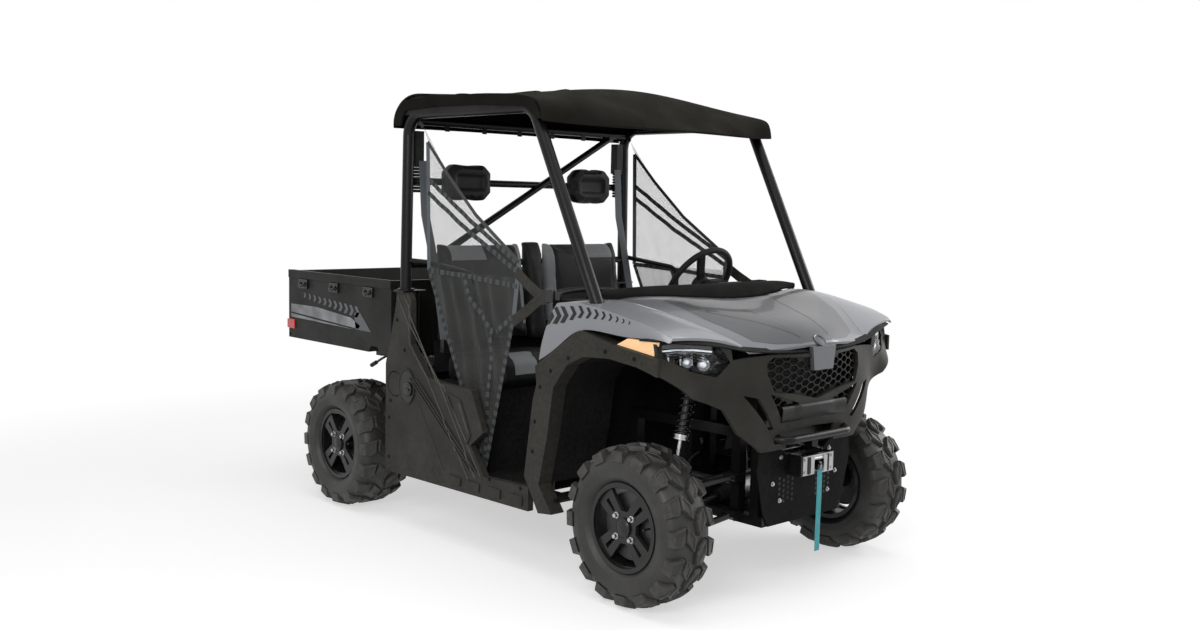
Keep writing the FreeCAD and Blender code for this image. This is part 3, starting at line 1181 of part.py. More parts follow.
def headrests():
    """Eight-sided pads with a dished face, bolted to their bar."""
    middle_z = "((rest_low_z + rest_top_z) / 2)"
    front = "(post_x + brace_r + seat_gap + rest_thick)"
    corners = [("-rest_y - rest_half_w", middle_z + " - 46"),
               ("-rest_y - rest_half_w + 40", "rest_low_z"),
               ("-rest_y + rest_half_w - 40", "rest_low_z"),
               ("-rest_y + rest_half_w", middle_z + " - 46"),
               ("-rest_y + rest_half_w", middle_z + " + 46"),
               ("-rest_y + rest_half_w - 40", "rest_top_z"),
               ("-rest_y - rest_half_w + 40", "rest_top_z"),
               ("-rest_y - rest_half_w", middle_z + " + 46")]
    body = plate("Headrest", "YZ_Plane", corners, "post_x + brace_r + seat_gap", front)
    dish = [("-rest_y - rest_half_w + 50", "rest_low_z + 50"),
            ("-rest_y + rest_half_w - 50", "rest_low_z + 50"),
            ("-rest_y + rest_half_w - 50", "rest_top_z - 50"),
            ("-rest_y - rest_half_w + 50", "rest_top_z - 50")]
    pocket(body, "YZ_Plane", dish, front + " - 14", front + " + 1")
    return pair(body)


def dashboard():
    """Hollow-fronted dash moulding, bored for the steering column."""
    body = plate("Dash", "XZ_Plane", [
        ("dash_rear_x", "dash_top_z - 20"), ("dash_rear_x + 30", "dash_top_z"),
        ("dash_front_x", "dash_top_z + 10"), ("dash_front_x", "dash_top_z - 30"),
        ("dash_front_x - 100", "dash_top_z - 90"), ("dash_front_x - 110", "dash_low_z + 30"),
        ("dash_front_x - 150", "dash_low_z"), ("dash_rear_x + 60", "dash_low_z + 20"),
        ("dash_rear_x + 10", "dash_low_z + 100"),
    ], "-dash_half_w", "dash_half_w")
    lean = math.radians(size("column_lean"))
    axis = Vector(-math.cos(lean), 0, math.sin(lean))
    hub = point("wheel_hub_x", "wheel_hub_y", "wheel_hub_z")
    way = feature("ColumnWay", Part.makeCylinder(size("column_r + 4"), 600, hub, axis * -1))
    tabs = [block(("dash_front_x - 130", DASH_BEAM_X + " - dash_beam_r - seat_gap"),
                  around(sign + "bracket_y", "30"), around("dash_beam_z", "20"))
            for sign in ("", "-")]
    return cut(joined([body] + tabs), way)


# Front body


def seam_rows():
    """Stations along the seam between bonnet and wing, from the cowl to the nose."""
    return [(880, 540, 1108), (1023, 555, 1100), (1125, 510, 1073), (1218, 450, 1038),
            (1320, 390, 992), (1380, 360, 951)]


def nose_tongue(gap):
    """The badge-less drop at the bonnet's tip, larger by a gap where room is cut for it."""
    ring = [Vector(1430 - gap, y, z) for y, z in (
        (-72 - gap, 955 + gap), (72 + gap, 955 + gap), (58 + gap, 866 - gap), (-58 - gap, 866 - gap))]
    return Part.Face(Part.makePolygon(ring + ring[:1])).extrude(Vector(18 + 2 * gap, 0, 0))


def hood():
    """The middle of the bonnet, falling to a nose that overhangs the grille."""
    middle = [(985, 300, 1118), (1085, 290, 1102), (1170, 275, 1074), (1260, 245, 1042),
              (1345, 210, 1003), (1415, 190, 957)]
    spine = [(1040, 1106), (1110, 1090), (1190, 1070), (1280, 1046), (1370, 1010), (1432, 964)]
    rows = []
    for (sx, sy, sz), (mx, my, mz), (x, z) in zip(seam_rows(), middle, spine):
        rows.append(both_sides([(sx, -sy, sz), (mx, -my, mz), (x, 0, z)]))
    top = skin(rows, Vector(0, 0, -size("hood_thick")))
    return feature("Hood", top.fuse(nose_tongue(0)).removeSplitter())


def fender_panels():
    """The wing: a top that runs to the seam and a side that stands on the flare."""
    gap = 1.5
    out = size("fender_out_y")
    crest = [(700, -out + 10, 1085), (840, -out + 4, 1098), (960, -out + 6, 1086),
             (1100, -out + 10, 1062), (1235, -out + 22, 1030), (1290, -out + 34, 1008)]
    top_mid = [(775, -640, 1100), (885, -640, 1106), (1000, -630, 1094), (1125, -600, 1071),
               (1235, -570, 1040), (1325, -530, 1003)]
    inner = [(x, -y - gap, z) for x, y, z in seam_rows()]
    top = skin([list(row) for row in zip(crest, top_mid, inner)],
               Vector(0, 0, -size("fender_thick")))
    side_mid = [(640, -out, 960), (832, -out, 1040), (958, -out, 1030), (1098, -out + 2, 1020),
                (1235, -out + 10, 1008), (1290, -out + 22, 998)]
    low = [(612, -out + 2, 860), (830, -out, 992), (950, -out, 1004), (1098, -out + 3, 996),
           (1232, -out + 8, 1000), (1288, -out + 16, 992)]
    side = skin([list(row) for row in zip(low, side_mid, crest)],
                Vector(0, size("fender_thick"), 0))
    foot = point("pillar_foot_x", "-pillar_foot_y", "pillar_foot_z")
    head = point("pillar_top_x", "-pillar_top_y", "rail_tube_z")
    pillar_way = straight(foot, foot + (head - foot) * 0.2, size("post_r") + 4)
    return pair(feature("Fender", top.fuse(side).removeSplitter().cut(pillar_way)))


def nose_room():
    """Everything ahead of the nose moulding's back, cut from what meets it."""
    return feature("NoseRoom", skin(mask_surface(size("mask_thick") + size("seat_gap")),
                                    Vector(300, 0, 0)))


def fender_flares():
    """The arch moulding: a pillar behind the wheel that turns forward over it."""
    body = plate("Flare", "XZ_Plane", [
        ("sill_end_x + 92", "panel_low_z + 30"), ("sill_end_x + 172", "panel_low_z + 40"),
        ("sill_end_x + 92", "sill_top_z + 30"), ("liner_rear_x - 48", "575"),
        ("liner_rear_x - 18", "768"), ("793", "862"), ("881", "903"),
        ("1020", "911"), ("1164", "896"), ("1262", "872"), ("1262", "935"),
        ("1043", "963"), ("861", "1000"), ("826", "984"), ("608", "838"),
        ("618", "768"), ("597", "702"), ("sill_end_x + 4", "395"),
    ], "flare_in_y", "flare_out_y")
    return pair(cut(body, nose_room()))


def turn_lamps():
    """Amber marker in the side of the wing, between wing and flare."""
    body = plate("TurnLamp", "XZ_Plane", [
        ("1043", "965"), ("1230", "942"), ("1238", "990"), ("1098", "992"),
    ], "fender_out_y - 22 + seat_gap", "fender_out_y - 3")
    return pair(cut(body, nose_room()))


def mask_surface(back):
    """The face of the nose, set back by a distance, reaching past every edge."""
    plan = {1000: (1430, 1416, 1384, 1360, 1308, 1238), 950: (1438, 1425, 1392, 1368, 1320, 1250),
            860: (1442, 1430, 1405, 1372, 1320, 1250), 750: (1420, 1418, 1410, 1372, 1310, 1242),
            650: (1404, 1404, 1400, 1365, 1300, 1232), 550: (1392, 1392, 1390, 1350, 1290, 1222)}
    across = (0, 150, 290, 400, 550, 705)
    rows = []
    for z, depths in plan.items():
        row = [(x - back, -y, z) for x, y in zip(reversed(depths), reversed(across))]
        rows.append(both_sides(row))
    return rows


LAMP_OUTLINE = [(676, 935), (665, 984), (485, 975), (440, 915), (485, 862), (585, 885)]
GRILLE_OUTLINE = [(0, 914), (250, 924), (284, 905), (283, 860), (250, 795), (140, 782), (0, 752)]
VENT_OUTLINE = [(105, 745), (270, 790), (205, 697), (105, 692)]
SLOT_OUTLINE = [(386, 792), (322, 778), (236, 656), (262, 654)]


def whole(half):
    """A half outline, from the centre line out and back, with its mirror image."""
    return half + [(-y, z) for y, z in reversed(half) if y]


def flipped(corners):
    return [(-y, z) for y, z in corners]


def grown(corners, gap):
    """Corners moved out from their middle, for a piece that sits behind an opening."""
    middle = Vector(sum(y for y, z in corners), sum(z for y, z in corners), 0)
    middle.multiply(1 / len(corners))
    result = []
    for y, z in corners:
        away = (Vector(y, z, 0) - middle).normalize()
        result.append((y + gap * away.x, z + gap * away.y))
    return result


def front_prism(corners):
    """A cutter through the nose, along X."""
    ring = [Vector(1100, y, z) for y, z in corners]
    return Part.Face(Part.makePolygon(ring + ring[:1])).extrude(Vector(400, 0, 0))


def front_fascia():
    """The nose moulding: openings for lamps, grille and bar, and a slot in each tusk."""
    shell = skin(mask_surface(0), Vector(-size("mask_thick"), 0, 0))
    half = [(0, 928), (250, 934), (362, 928), (430, 922), (440, 974), (660, 992), (700, 985),
            (700, 876), (590, 792), (505, 765), (450, 740), (395, 650), (310, 590), (290, 572),
            (150, 572), (140, 640), (0, 646)]
    shell = shell.common(front_prism(whole(half)))
    openings = [front_prism(whole(GRILLE_OUTLINE)), bull_bar_shape(size("bar_r") + 4),
                nose_tongue(0.5)]
    for corners in (LAMP_OUTLINE, VENT_OUTLINE, SLOT_OUTLINE):
        openings += [front_prism(corners), front_prism(flipped(corners))]
    for opening in openings:
        shell = shell.cut(opening)
    return feature("Fascia", shell)


def inside(y, z, corners):
    """Whether a place on the face of the nose lies within an outline."""
    within = False
    for (y1, z1), (y2, z2) in zip(corners, corners[1:] + corners[:1]):
        if (z1 > z) != (z2 > z) and y < y1 + (z - z1) * (y2 - y1) / (z2 - z1):
            within = not within
    return within


def cells(corners):
    """Wide six-sided holes, in columns that are staggered by half a cell."""
    wide, flat, tall, wall = size("cell_w"), size("cell_flat"), size("cell_h"), size("cell_wall")
    step = (wide + flat) / 2
    middle_z = size("grille_z")
    columns = int(size("fender_out_y") / step)
    rows = int(size("mask_tall") / tall)
    holes = []
    for column in range(-columns, columns + 1):
        for row in range(-rows, rows + 1):
            y = column * step
            z = middle_z + (row + column % 2 / 2) * tall
            if inside(y, z, corners):
                ring = [(y + across * (wide - wall), z) for across in (-0.5, 0.5)]
                edge = [(y + across * (flat - wall / 2), z + up * (tall - wall))
                        for across, up in ((-0.5, 0.5), (0.5, 0.5), (0.5, -0.5), (-0.5, -0.5))]
                holes.append(front_prism([ring[0]] + edge[:2] + [ring[1]] + edge[2:]))
    return holes


def grille():
    """Honeycomb that follows the curve of the nose behind its three openings."""
    rows = mask_surface(size("mask_thick") + size("seat_gap"))
    panel = skin(rows, Vector(-size("grille_thick"), 0, 0))
    shapes = []
    for corners in (whole(GRILLE_OUTLINE), VENT_OUTLINE, flipped(VENT_OUTLINE)):
        sheet_shape = panel.common(front_prism(grown(corners, size("grille_edge"))))
        shapes.append(sheet_shape.cut(cells(corners)))
    return feature("Grille", fused(shapes))


def headlamps():
    """Lens blocks that fill the lamp openings."""
    lens = skin(mask_surface(3), Vector(3 - size("mask_thick"), 0, 0))
    can = skin(mask_surface(3), Vector(-60, 0, 0)).common(
        Part.makeBox(400, 2 * size("flare_in_y - 2"), 400, point("1100", "2 - flare_in_y", "700")))
    outline_shape = front_prism(grown(flipped(LAMP_OUTLINE), -1))
    return pair(feature("Headlamp", lens.fuse(can).common(outline_shape).removeSplitter()))


def arch_liners():
    """The inner arch over each front wheel, seated on the flare's inner face."""
    arch = [(634, 375), (681, 575), (711, 770), (789, 868), (879, 909), (1020, 917),
            (1165, 902), (1232, 887)]
    thick = size("liner_thick")
    inner = [(x + thick, z - (thick if z > 800 else 0)) for x, z in arch[:-1]]
    inner.append((arch[-1][0], arch[-1][1] - thick))
    corners = [(str(x), str(z)) for x, z in arch + inner[::-1]]
    body = plate("Liner", "XZ_Plane", corners, "liner_in_y", "flare_in_y - seat_gap")
    return pair(cut(body, nose_room()))


def cowl_rows():
    return [both_sides(row) for row in (
        [(760, -598, 1112), (740, -300, 1124), (740, 0, 1126)],
        [(815, -598, 1136), (860, -300, 1152), (905, 0, 1156)],
        [(838, -598, 1128), (935, -300, 1152), (990, 0, 1150)],
        [(852, -560, 1112), (966, -300, 1124), (1022, 0, 1112)],
    )]


def cowl():
    """The dark panel from the foot of the windscreen opening to the bonnet."""
    return feature("Cowl", skin(cowl_rows(), Vector(0, 0, -size("hood_thick"))))


def bull_bar_shape(radius):
    """The bar's tube, running a little way into the posts that its legs stand on."""
    front_x, half = size("bar_x"), size("bar_half_w")
    leg = point("front_post_x + tower_w / 2", "rail_y", "bar_z + 4")
    bend = Vector(front_x, half, size("bar_z"))
    leg = leg + (leg - bend).normalize() * 2 * radius
    return bent_tube([Vector(leg.x, -leg.y, leg.z), Vector(front_x, -half, size("bar_z")), bend,
                      leg], radius, size("bar_bend"))


def bull_bar():
    behind = Part.makeBox(200, 800, 200, point("front_post_x + tower_w / 2 + seat_gap - 200",
                                               "-400", "bar_z - 100"))
    return feature("BullBar", bull_bar_shape(size("bar_r")).cut(behind))


def winch():
    """Drum and motor on a tray, with a roller fairlead in front of the plate."""
    z = "winch_z"
    half = "(winch_half_w - 2)"
    tray_low = "winch_z - winch_tall / 2 + 2"
    between_posts = "(rail_y - tower_w / 2 - seat_gap)"
    pieces = [
        block(("front_post_x + tower_w / 2 - 90", "fairlead_x - fairlead_thick"),
              ("-" + half, half), (tray_low, tray_low + " + 5")),
        block(around("front_post_x", "tower_w - 4"), ("-" + between_posts, between_posts),
              (tray_low, tray_low + " + 5")),
        rod(ALONG_Y, ("front_post_x - 30", "-" + half, z), "drum_r", "2 * " + half),
    ]
    for sign in (1, -1):
        low = "-" + half if sign > 0 else half + " - 6"
        pieces.append(block(("front_post_x - 70", "fairlead_x - fairlead_thick"),
                            (low, low + " + 6"), (tray_low, "winch_z + winch_tall / 2 - 2")))
    face = block(("fairlead_x - fairlead_thick", "fairlead_x"),
                 ("-fairlead_half_w", "fairlead_half_w"), around(z, "fairlead_tall"))
    window = block(("fairlead_x - fairlead_thick - 1", "fairlead_x + 1"), around("0", "110"),
                   around(z, "34"))
    pieces.append(cut(face, window))
    for y in ("-60", "60"):
        pieces.append(rod(UPWARD, ("fairlead_x", y, "winch_z - fairlead_tall / 2 + 6"), "8",
                          "fairlead_tall - 12"))
    tongue = block(("fairlead_x - 30", "hook_x"), around("0", "12"), around(z, "12"))
    hook = rod(ALONG_Y, ("hook_x", "-6", z), "12", "12")
    clamp = block(around("hook_x + 6", "8"), around("0", "strap_w + 4"), ("strap_top_z", z))
    rope = rod(ALONG_X, ("front_post_x", "0", z), "5", "fairlead_x - front_post_x")
    return joined(pieces + [tongue, hook, clamp, rope])


STRAP_ROUTE = ((1447, 0, 484), (1448.5, 0, 380), (1446, 0, 270), (1447, 0, 166))


def winch_strap():
    """Webbing pull strap that hangs from the hook."""
    corners = [Vector(*place) for place in STRAP_ROUTE]
    path = bent_path(corners, 900)
    half, thick = size("strap_w") / 2, size("strap_thick") / 2
    start = corners[0]
    ring = Part.makePolygon([start + Vector(x, y, 0) for x, y in (
        (-thick, -half), (thick, -half), (thick, half), (-thick, half), (-thick, -half))])
    return feature("Strap", path.makePipeShell([ring], True, False))


# Cab fittings


def side_net(side):
    """Mesh door net in its piping, a flat sheet between roof rail, posts and sill."""
    body = plate("Net", "XZ_Plane", [
        ("post_x + 71", "rail_tube_z - post_r - 24"), ("post_x + 109", "1719"),
        ("post_x + 259", "1576"), ("117", "1410"), ("404", "1229"), ("377", "1013"),
        ("281", "653"), ("212", "350"), ("188", "350"), ("post_x + 125", "1162"),
    ], "net_y", "net_y + net_thick")
    return body if side == "right" else mirrored(body)


def belt_retractors():
    """Seat belt reels on the inner side of the rear posts."""
    outer = "(roof_tube_y - post_r + seat_gap)"
    reel = block(around("post_x", "reel_w"), ("-" + outer, "-%s + reel_deep" % outer),
                 ("reel_low_z", "reel_low_z + reel_tall"))
    return pair(reel)


def hip_bars():
    """The bar beside each hip, from the rear post forward and down to the seat's riser."""
    post = point("post_x", "-post_y", "hip_z + 20")
    tube = bent_tube([post, point("post_x + 100", "-hip_y", "hip_z + 14"),
                      point("hip_front_x", "-hip_y", "hip_z - 20"),
                      point("hip_front_x + 17", "-seat_base_half_w - hip_r - seat_gap",
                            "hip_foot_z")],
                     size("hip_r"), size("hip_bend"))
    room = straight(point("post_x", "-post_y", "post_foot_z"),
                    point("post_x", "-roof_tube_y", "rail_tube_z"), size("post_r + seat_gap"))
    return pair(feature("HipBar", tube.cut(room)))


def build():
    node("chassis_frame", chassis_frame())
    node("skid_plates", skid_plates())
    node("engine_block", engine_block())
    node("drive_units", drive_units())
    shafts = half_shafts()
    node("half_shafts", together(shafts + [mirrored(shaft) for shaft in shafts]))
    node("muffler", muffler())
    node("front_arms", suspension_arms("front_axle_x", "front_shock_low_y"))
    node("rear_arms", suspension_arms(REAR_AXLE, "rear_shock_low_y"))
    shocks = [shock("front_axle_x", "front_shock_top_y", "front_shock_top_z",
                    "front_shock_low_y"),
              shock(REAR_AXLE, "rear_shock_top_y", "rear_shock_top_z", "rear_shock_low_y")]
    node("shock_absorbers", together(shocks + [mirrored(piece) for piece in shocks]))
    node("rear_hub_carriers", pair(feature("Carrier", carrier(REAR_AXLE, "rear_outer_y"))))
    right = knuckle()
    node("knuckle_right", right)
    node("knuckle_left", mirrored(right))
    node("steering_rack", steering_rack())
    node("steering_column", steering_column())
    node("steering_wheel", steering_wheel())
    wheels()
    node("rops_sides", rops_sides())
    node("rops_crossbars", rops_crossbars())
    node("roof_panel", roof_panel())
    node("cargo_bed", cargo_bed())
    node("tailgate", tailgate())
    node("tail_lamps", tail_lamps())
    node("floor_pan", floor_pan())
    node("side_panels", side_panels())
    node("seat_base", seat_base())
    node("seat_cushions", seat_cushions())
    node("seat_backs", seat_backs())
    node("headrests", headrests())
    node("dashboard", dashboard())
    node("hood", hood())
    node("fender_panels", fender_panels())
    node("fender_flares", fender_flares())
    node("turn_lamps", turn_lamps())
    node("front_fascia", front_fascia())
    node("grille", grille())
    node("headlamps", headlamps())
    node("arch_liners", arch_liners())
    node("cowl", cowl())
    node("bull_bar", bull_bar())
    node("winch", winch())
    node("winch_strap", winch_strap())
    node("net_right", side_net("right"))
    node("net_left", side_net("left"))
    node("belt_retractors", belt_retractors())
    node("hip_bars", hip_bars())


def check_and_write():
    """Stop at any failed step, then write every sub-part to its own file."""
    doc.recompute()
    for item in doc.Objects:
        if "Invalid" in item.State or "Error" in item.State:
            raise RuntimeError("%s did not build: %s" % (item.Label, item.State))
    os.makedirs("parts", exist_ok=True)
    for piece in nodes:
        shape = piece.Shape
        if shape.isNull() or not shape.isValid():
            raise RuntimeError("%s has no valid shape" % piece.Label)
        shape.exportStep("parts/%s.step" % piece.Label)
        print("%-18s %3d solids %10.0f mm3" % (piece.Label, len(shape.Solids), shape.Volume))


build()
check_and_write()
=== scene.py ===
# %% [markdown]
# # Side by side utility vehicle
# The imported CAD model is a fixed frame: its pieces keep their places, and this file gives them
# their finish. What a solid shows too plainly, such as the tyres' tread, the springs, the
# cushions and the nets, gets a detailed piece of its own that sits where the solid is.
# Everything is in metres, +X forward, +Y to the driver's left, +Z up.

# %% Load the frame
import bpy
import bmesh
import math
from mathutils import Matrix, Vector
from mathutils.bvhtree import BVHTree
from mathutils.noise import noise


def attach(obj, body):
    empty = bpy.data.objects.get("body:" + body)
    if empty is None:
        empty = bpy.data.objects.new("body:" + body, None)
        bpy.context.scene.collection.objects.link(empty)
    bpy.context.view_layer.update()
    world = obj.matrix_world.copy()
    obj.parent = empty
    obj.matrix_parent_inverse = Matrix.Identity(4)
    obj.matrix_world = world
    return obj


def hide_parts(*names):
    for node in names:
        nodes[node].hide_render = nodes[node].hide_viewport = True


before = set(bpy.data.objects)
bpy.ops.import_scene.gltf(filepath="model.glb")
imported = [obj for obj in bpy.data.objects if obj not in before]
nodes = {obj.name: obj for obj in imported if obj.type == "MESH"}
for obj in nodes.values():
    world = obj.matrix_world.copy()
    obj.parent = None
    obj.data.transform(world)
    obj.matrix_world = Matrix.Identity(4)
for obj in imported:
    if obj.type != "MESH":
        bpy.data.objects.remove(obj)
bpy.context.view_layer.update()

# %% [markdown]
# The camera stands ahead and to the right of the vehicle, half a metre lower than the roof, and
# its lens was worked out from the wheels' ellipses and the vehicle's length. Its three directions
# are written out, because the photograph leans by about one degree.

# %% Camera
CAMERA_PLACE = Vector((4.1411, -3.7114, 1.4790))
CAMERA_RIGHT = Vector((0.684867, 0.728341, 0.021821))
CAMERA_UP = Vector((-0.083456, 0.048655, 0.995323))
CAMERA_BACK = Vector((0.723873, -0.683485, 0.094106))
LENS_MM = 36.12

camera = bpy.data.objects.new("Camera", bpy.data.cameras.new("Camera"))
bpy.context.scene.collection.objects.link(camera)
turn = Matrix((CAMERA_RIGHT, CAMERA_UP, CAMERA_BACK)).transposed().to_4x4()
camera.matrix_world = Matrix.Translation(CAMERA_PLACE) @ turn
camera.data.sensor_width = 36.0
camera.data.lens = LENS_MM
camera.data.clip_end = 100
bpy.context.scene.camera = camera
print("camera at", tuple(CAMERA_PLACE))

# %% [markdown]
# The winch's hook carries a flat pull strap. It is a limp ribbon of webbing, so it is one
# smooth spline with the route's points as control points. It is sewn round the hook's clamp at
# the top and ends bare, below axle height.

# %% Winch pull strap
STRAP_ROUTE = [(1.447, 0, 0.484), (1.4485, 0, 0.380), (1.446, 0, 0.270), (1.447, 0, 0.166)]
STRAP_WIDE, STRAP_THICK = 0.028, 0.003


def spline_through(name, route):
    """An open smooth curve whose control points are the route's points."""
    curve = bpy.data.curves.new(name, "CURVE")
    curve.dimensions = "3D"
    spline = curve.splines.new("NURBS")
    spline.points.add(len(route) - 1)
    for knot, place in zip(spline.points, route):
        knot.co = (*place, 1)
    spline.order_u = 3
    spline.use_endpoint_u = True
    piece = bpy.data.objects.new(name, curve)
    bpy.context.scene.collection.objects.link(piece)
    return piece


print("strap route drops", STRAP_ROUTE[0][2] - STRAP_ROUTE[-1][2], "m")

# %% [markdown]
# The studio and the materials are built from shader nodes. A few helpers keep that short: they
# add a node, feed a socket, map a value to another range, join two values or mix two colours.

# %% Helpers for shader nodes
def put(tree, kind, **settings):
    """Add a shader node and set its plain properties."""
    item = tree.nodes.new("ShaderNode" + kind)
    for title, value in settings.items():
        setattr(item, title, value)
    return item


def feed(tree, socket, value):
    """Set a socket to a number or a colour, or link another node's output to it."""
    if isinstance(value, bpy.types.NodeSocket):
        tree.links.new(value, socket)
    else:
        socket.default_value = (*value, 1) if isinstance(value, tuple) else value


def give(tree, item, **values):
    """Feed a node's sockets, each named with _ for its spaces."""
    for title, value in values.items():
        feed(tree, item.inputs[title.replace("_", " ")], value)


def span(tree, value, low, high, start=0.0, end=1.0):
    """Map a value from the range of start and end to the range of low and high."""
    item = put(tree, "MapRange")
    give(tree, item, Value=value, From_Min=start, From_Max=end, To_Min=low, To_Max=high)
    return item.outputs[0]


def product(tree, first, second, operation="MULTIPLY"):
    """One value from two."""
    item = put(tree, "Math", operation=operation)
    feed(tree, item.inputs[0], first)
    feed(tree, item.inputs[1], second)
    return item.outputs[0]


def mixed(tree, share, low, high):
    """A colour between two, by a share that changes over the surface."""
    item = put(tree, "Mix", data_type="RGBA")
    for number, value in ((0, share), (6, low), (7, high)):
        feed(tree, item.inputs[number], value)
    return item.outputs[2]


def place_in(tree):
    """The place on the object, which is in metres for all of the vehicle's pieces."""
    return put(tree, "TexCoord").outputs["Object"]


def noise_at(tree, place, scale, detail=2.0):
    """Soft noise at a scale that may come from a group's input."""
    item = put(tree, "TexNoise")
    give(tree, item, Vector=place, Scale=scale, Detail=detail)
    return item.outputs[0]


def directly_seen(tree):
    """1 for the camera's rays, also those that a shine or glass sends on, and 0 for other light."""
    ray = put(tree, "LightPath").outputs
    straight = product(tree, ray["Is Camera Ray"], ray["Is Glossy Ray"], "MAXIMUM")
    return product(tree, straight, ray["Is Transmission Ray"], "MAXIMUM")


# %% [markdown]
# A studio floor that stays white in the picture but still takes the vehicle's shadow: where it is
# seen it adds a plain glow to its diffuse shade, and away from the vehicle it fades to plain white
# paper. The world is a soft grey dome that the camera, glass and shiny surfaces see as white.

# %% Floor
FLOOR_HALF = 30.0
GLOW, PAPER = 0.56, 0.60
NEAR_R, FAR_R = 2.2, 4.6
floor_mesh = bpy.data.meshes.new("floor")
floor_mesh.from_pydata([(x * FLOOR_HALF, y * FLOOR_HALF, 0)
                        for x, y in ((-1, -1), (1, -1), (1, 1), (-1, 1))], [], [(0, 1, 2, 3)])
floor = bpy.data.objects.new("floor", floor_mesh)
bpy.context.scene.collection.objects.link(floor)

floor_look = bpy.data.materials.new("floor_paper")
floor_look.use_nodes = True
tree = floor_look.node_tree
tree.nodes.clear()
seen = directly_seen(tree)
reach = put(tree, "VectorMath", operation="LENGTH")
tree.links.new(place_in(tree), reach.inputs[0])
fade = put(tree, "MapRange", interpolation_type="SMOOTHSTEP")
give(tree, fade, Value=reach.outputs["Value"], From_Min=NEAR_R, From_Max=FAR_R)
shade = put(tree, "BsdfDiffuse")
give(tree, shade, Color=(PAPER, PAPER, PAPER))
near_paper = put(tree, "AddShader")
tree.links.new(shade.outputs[0], near_paper.inputs[0])
paper = put(tree, "MixShader")
tree.links.new(fade.outputs[0], paper.inputs[0])
tree.links.new(near_paper.outputs[0], paper.inputs[1])
for strength, socket in ((GLOW, near_paper.inputs[1]), (1.0, paper.inputs[2])):
    glow = put(tree, "Emission")
    give(tree, glow, Strength=product(tree, seen, strength))
    tree.links.new(glow.outputs[0], socket)
tree.links.new(paper.outputs[0], put(tree, "OutputMaterial").inputs["Surface"])
floor_mesh.materials.append(floor_look)
print("floor fades to plain white at", FAR_R, "m")

# %% World
DOME_DIM = 0.26
world = bpy.data.worlds.new("studio")
bpy.context.scene.world = world
world.use_nodes = True
sky = world.node_tree
dome = sky.nodes["Background"]
give(sky, dome, Strength=span(sky, directly_seen(sky), DOME_DIM, 1.0), Color=(1, 1, 1))
print("the dome lights the vehicle at", DOME_DIM)

# %% [markdown]
# Three large soft lamps shape the body: one overhead, a key lamp at the camera's side, and one on
# the far side that draws the edges.

# %% Lamps
def soft_lamp(name, place, aim, wide, tall, watts):
    """A rectangular lamp at a place, turned to what it is aimed at."""
    lamp = bpy.data.lights.new(name, "AREA")
    lamp.shape = "RECTANGLE"
    lamp.size, lamp.size_y, lamp.energy = wide, tall, watts
    stand = bpy.data.objects.new(name, lamp)
    stand.location = place
    stand.rotation_euler = (Vector(aim) - Vector(place)).to_track_quat("-Z", "Y").to_euler()
    bpy.context.scene.collection.objects.link(stand)


soft_lamp("overhead", (0.6, -0.4, 4.6), (0, 0, 0.8), 5.0, 3.6, 105)
soft_lamp("key", (3.2, -4.6, 3.0), (0.2, -0.2, 0.9), 2.6, 1.8, 110)
soft_lamp("far_side", (2.2, 4.6, 2.6), (0, 0.2, 0.9), 3.0, 2.0, 95)
bpy.context.scene.view_settings.view_transform = "Standard"

# %% [markdown]
# Most finishes share a few effects: the pebbled grain of moulded plastic, the pale wear of an
# edge, drifts of dust, the weave of cloth and the flakes in metal paint. Each is one shader node
# group that gives only values, so the same effect can be placed in many materials with its own
# scale. All of them read object coordinates, which for the frame's pieces are metres.

# %% Node groups
def new_group(name, takes, gives):
    """An empty node group with float inputs and outputs, its entry and its exit."""
    group = bpy.data.node_groups.new(name, "ShaderNodeTree")
    for title, start in takes.items():
        group.interface.new_socket(name=title, in_out="INPUT",
                                   socket_type="NodeSocketFloat").default_value = start
    for title in gives:
        group.interface.new_socket(name=title, in_out="OUTPUT", socket_type="NodeSocketFloat")
    return group, group.nodes.new("NodeGroupInput"), group.nodes.new("NodeGroupOutput")


def place_group(tree, group, **values):
    """Put a node group in a material with its own values."""
    item = put(tree, "Group", node_tree=group)
    give(tree, item, **values)
    return item


# %% Moulded grain
pebble_grain, entry, out = new_group("moulded_grain", {"Scale": 700.0}, ("Height", "Mottle"))
place = place_in(pebble_grain)
pebbles = put(pebble_grain, "TexVoronoi", feature="SMOOTH_F1")
give(pebble_grain, pebbles, Vector=place, Scale=entry.outputs["Scale"])
fine = noise_at(pebble_grain, place, entry.outputs["Scale"])
cloudy = noise_at(pebble_grain, place, 7.0, 5.0)
give(pebble_grain, out, Height=product(pebble_grain, pebbles.outputs["Distance"], fine, "ADD"),
     Mottle=span(pebble_grain, cloudy, 0, 1, 0.32, 0.68))

# %% Edge wear
edge_wear, entry, out = new_group("edge_wear", {"Patch Scale": 60.0}, ("Mask",))
edge = span(edge_wear, put(edge_wear, "NewGeometry").outputs["Pointiness"], 0, 1, 0.53, 0.62)
patches = noise_at(edge_wear, place_in(edge_wear), entry.outputs["Patch Scale"], 4.0)
give(edge_wear, out, Mask=product(edge_wear, edge, span(edge_wear, patches, 0, 1, 0.4, 0.6)))

# %% Dust
dust_drift, entry, out = new_group("dust_drift", {"Scale": 9.0, "Amount": 0.3}, ("Mask",))
drift = noise_at(dust_drift, place_in(dust_drift), entry.outputs["Scale"], 6.0)
drift = span(dust_drift, drift, 0, 1, 0.42, 0.75)
facing = put(dust_drift, "SeparateXYZ")
give(dust_drift, facing, Vector=put(dust_drift, "NewGeometry").outputs["Normal"])
upward = span(dust_drift, facing.outputs["Z"], 0.25, 1, -0.2, 1.0)
settled = product(dust_drift, product(dust_drift, drift, upward), entry.outputs["Amount"])
give(dust_drift, out, Mask=settled)

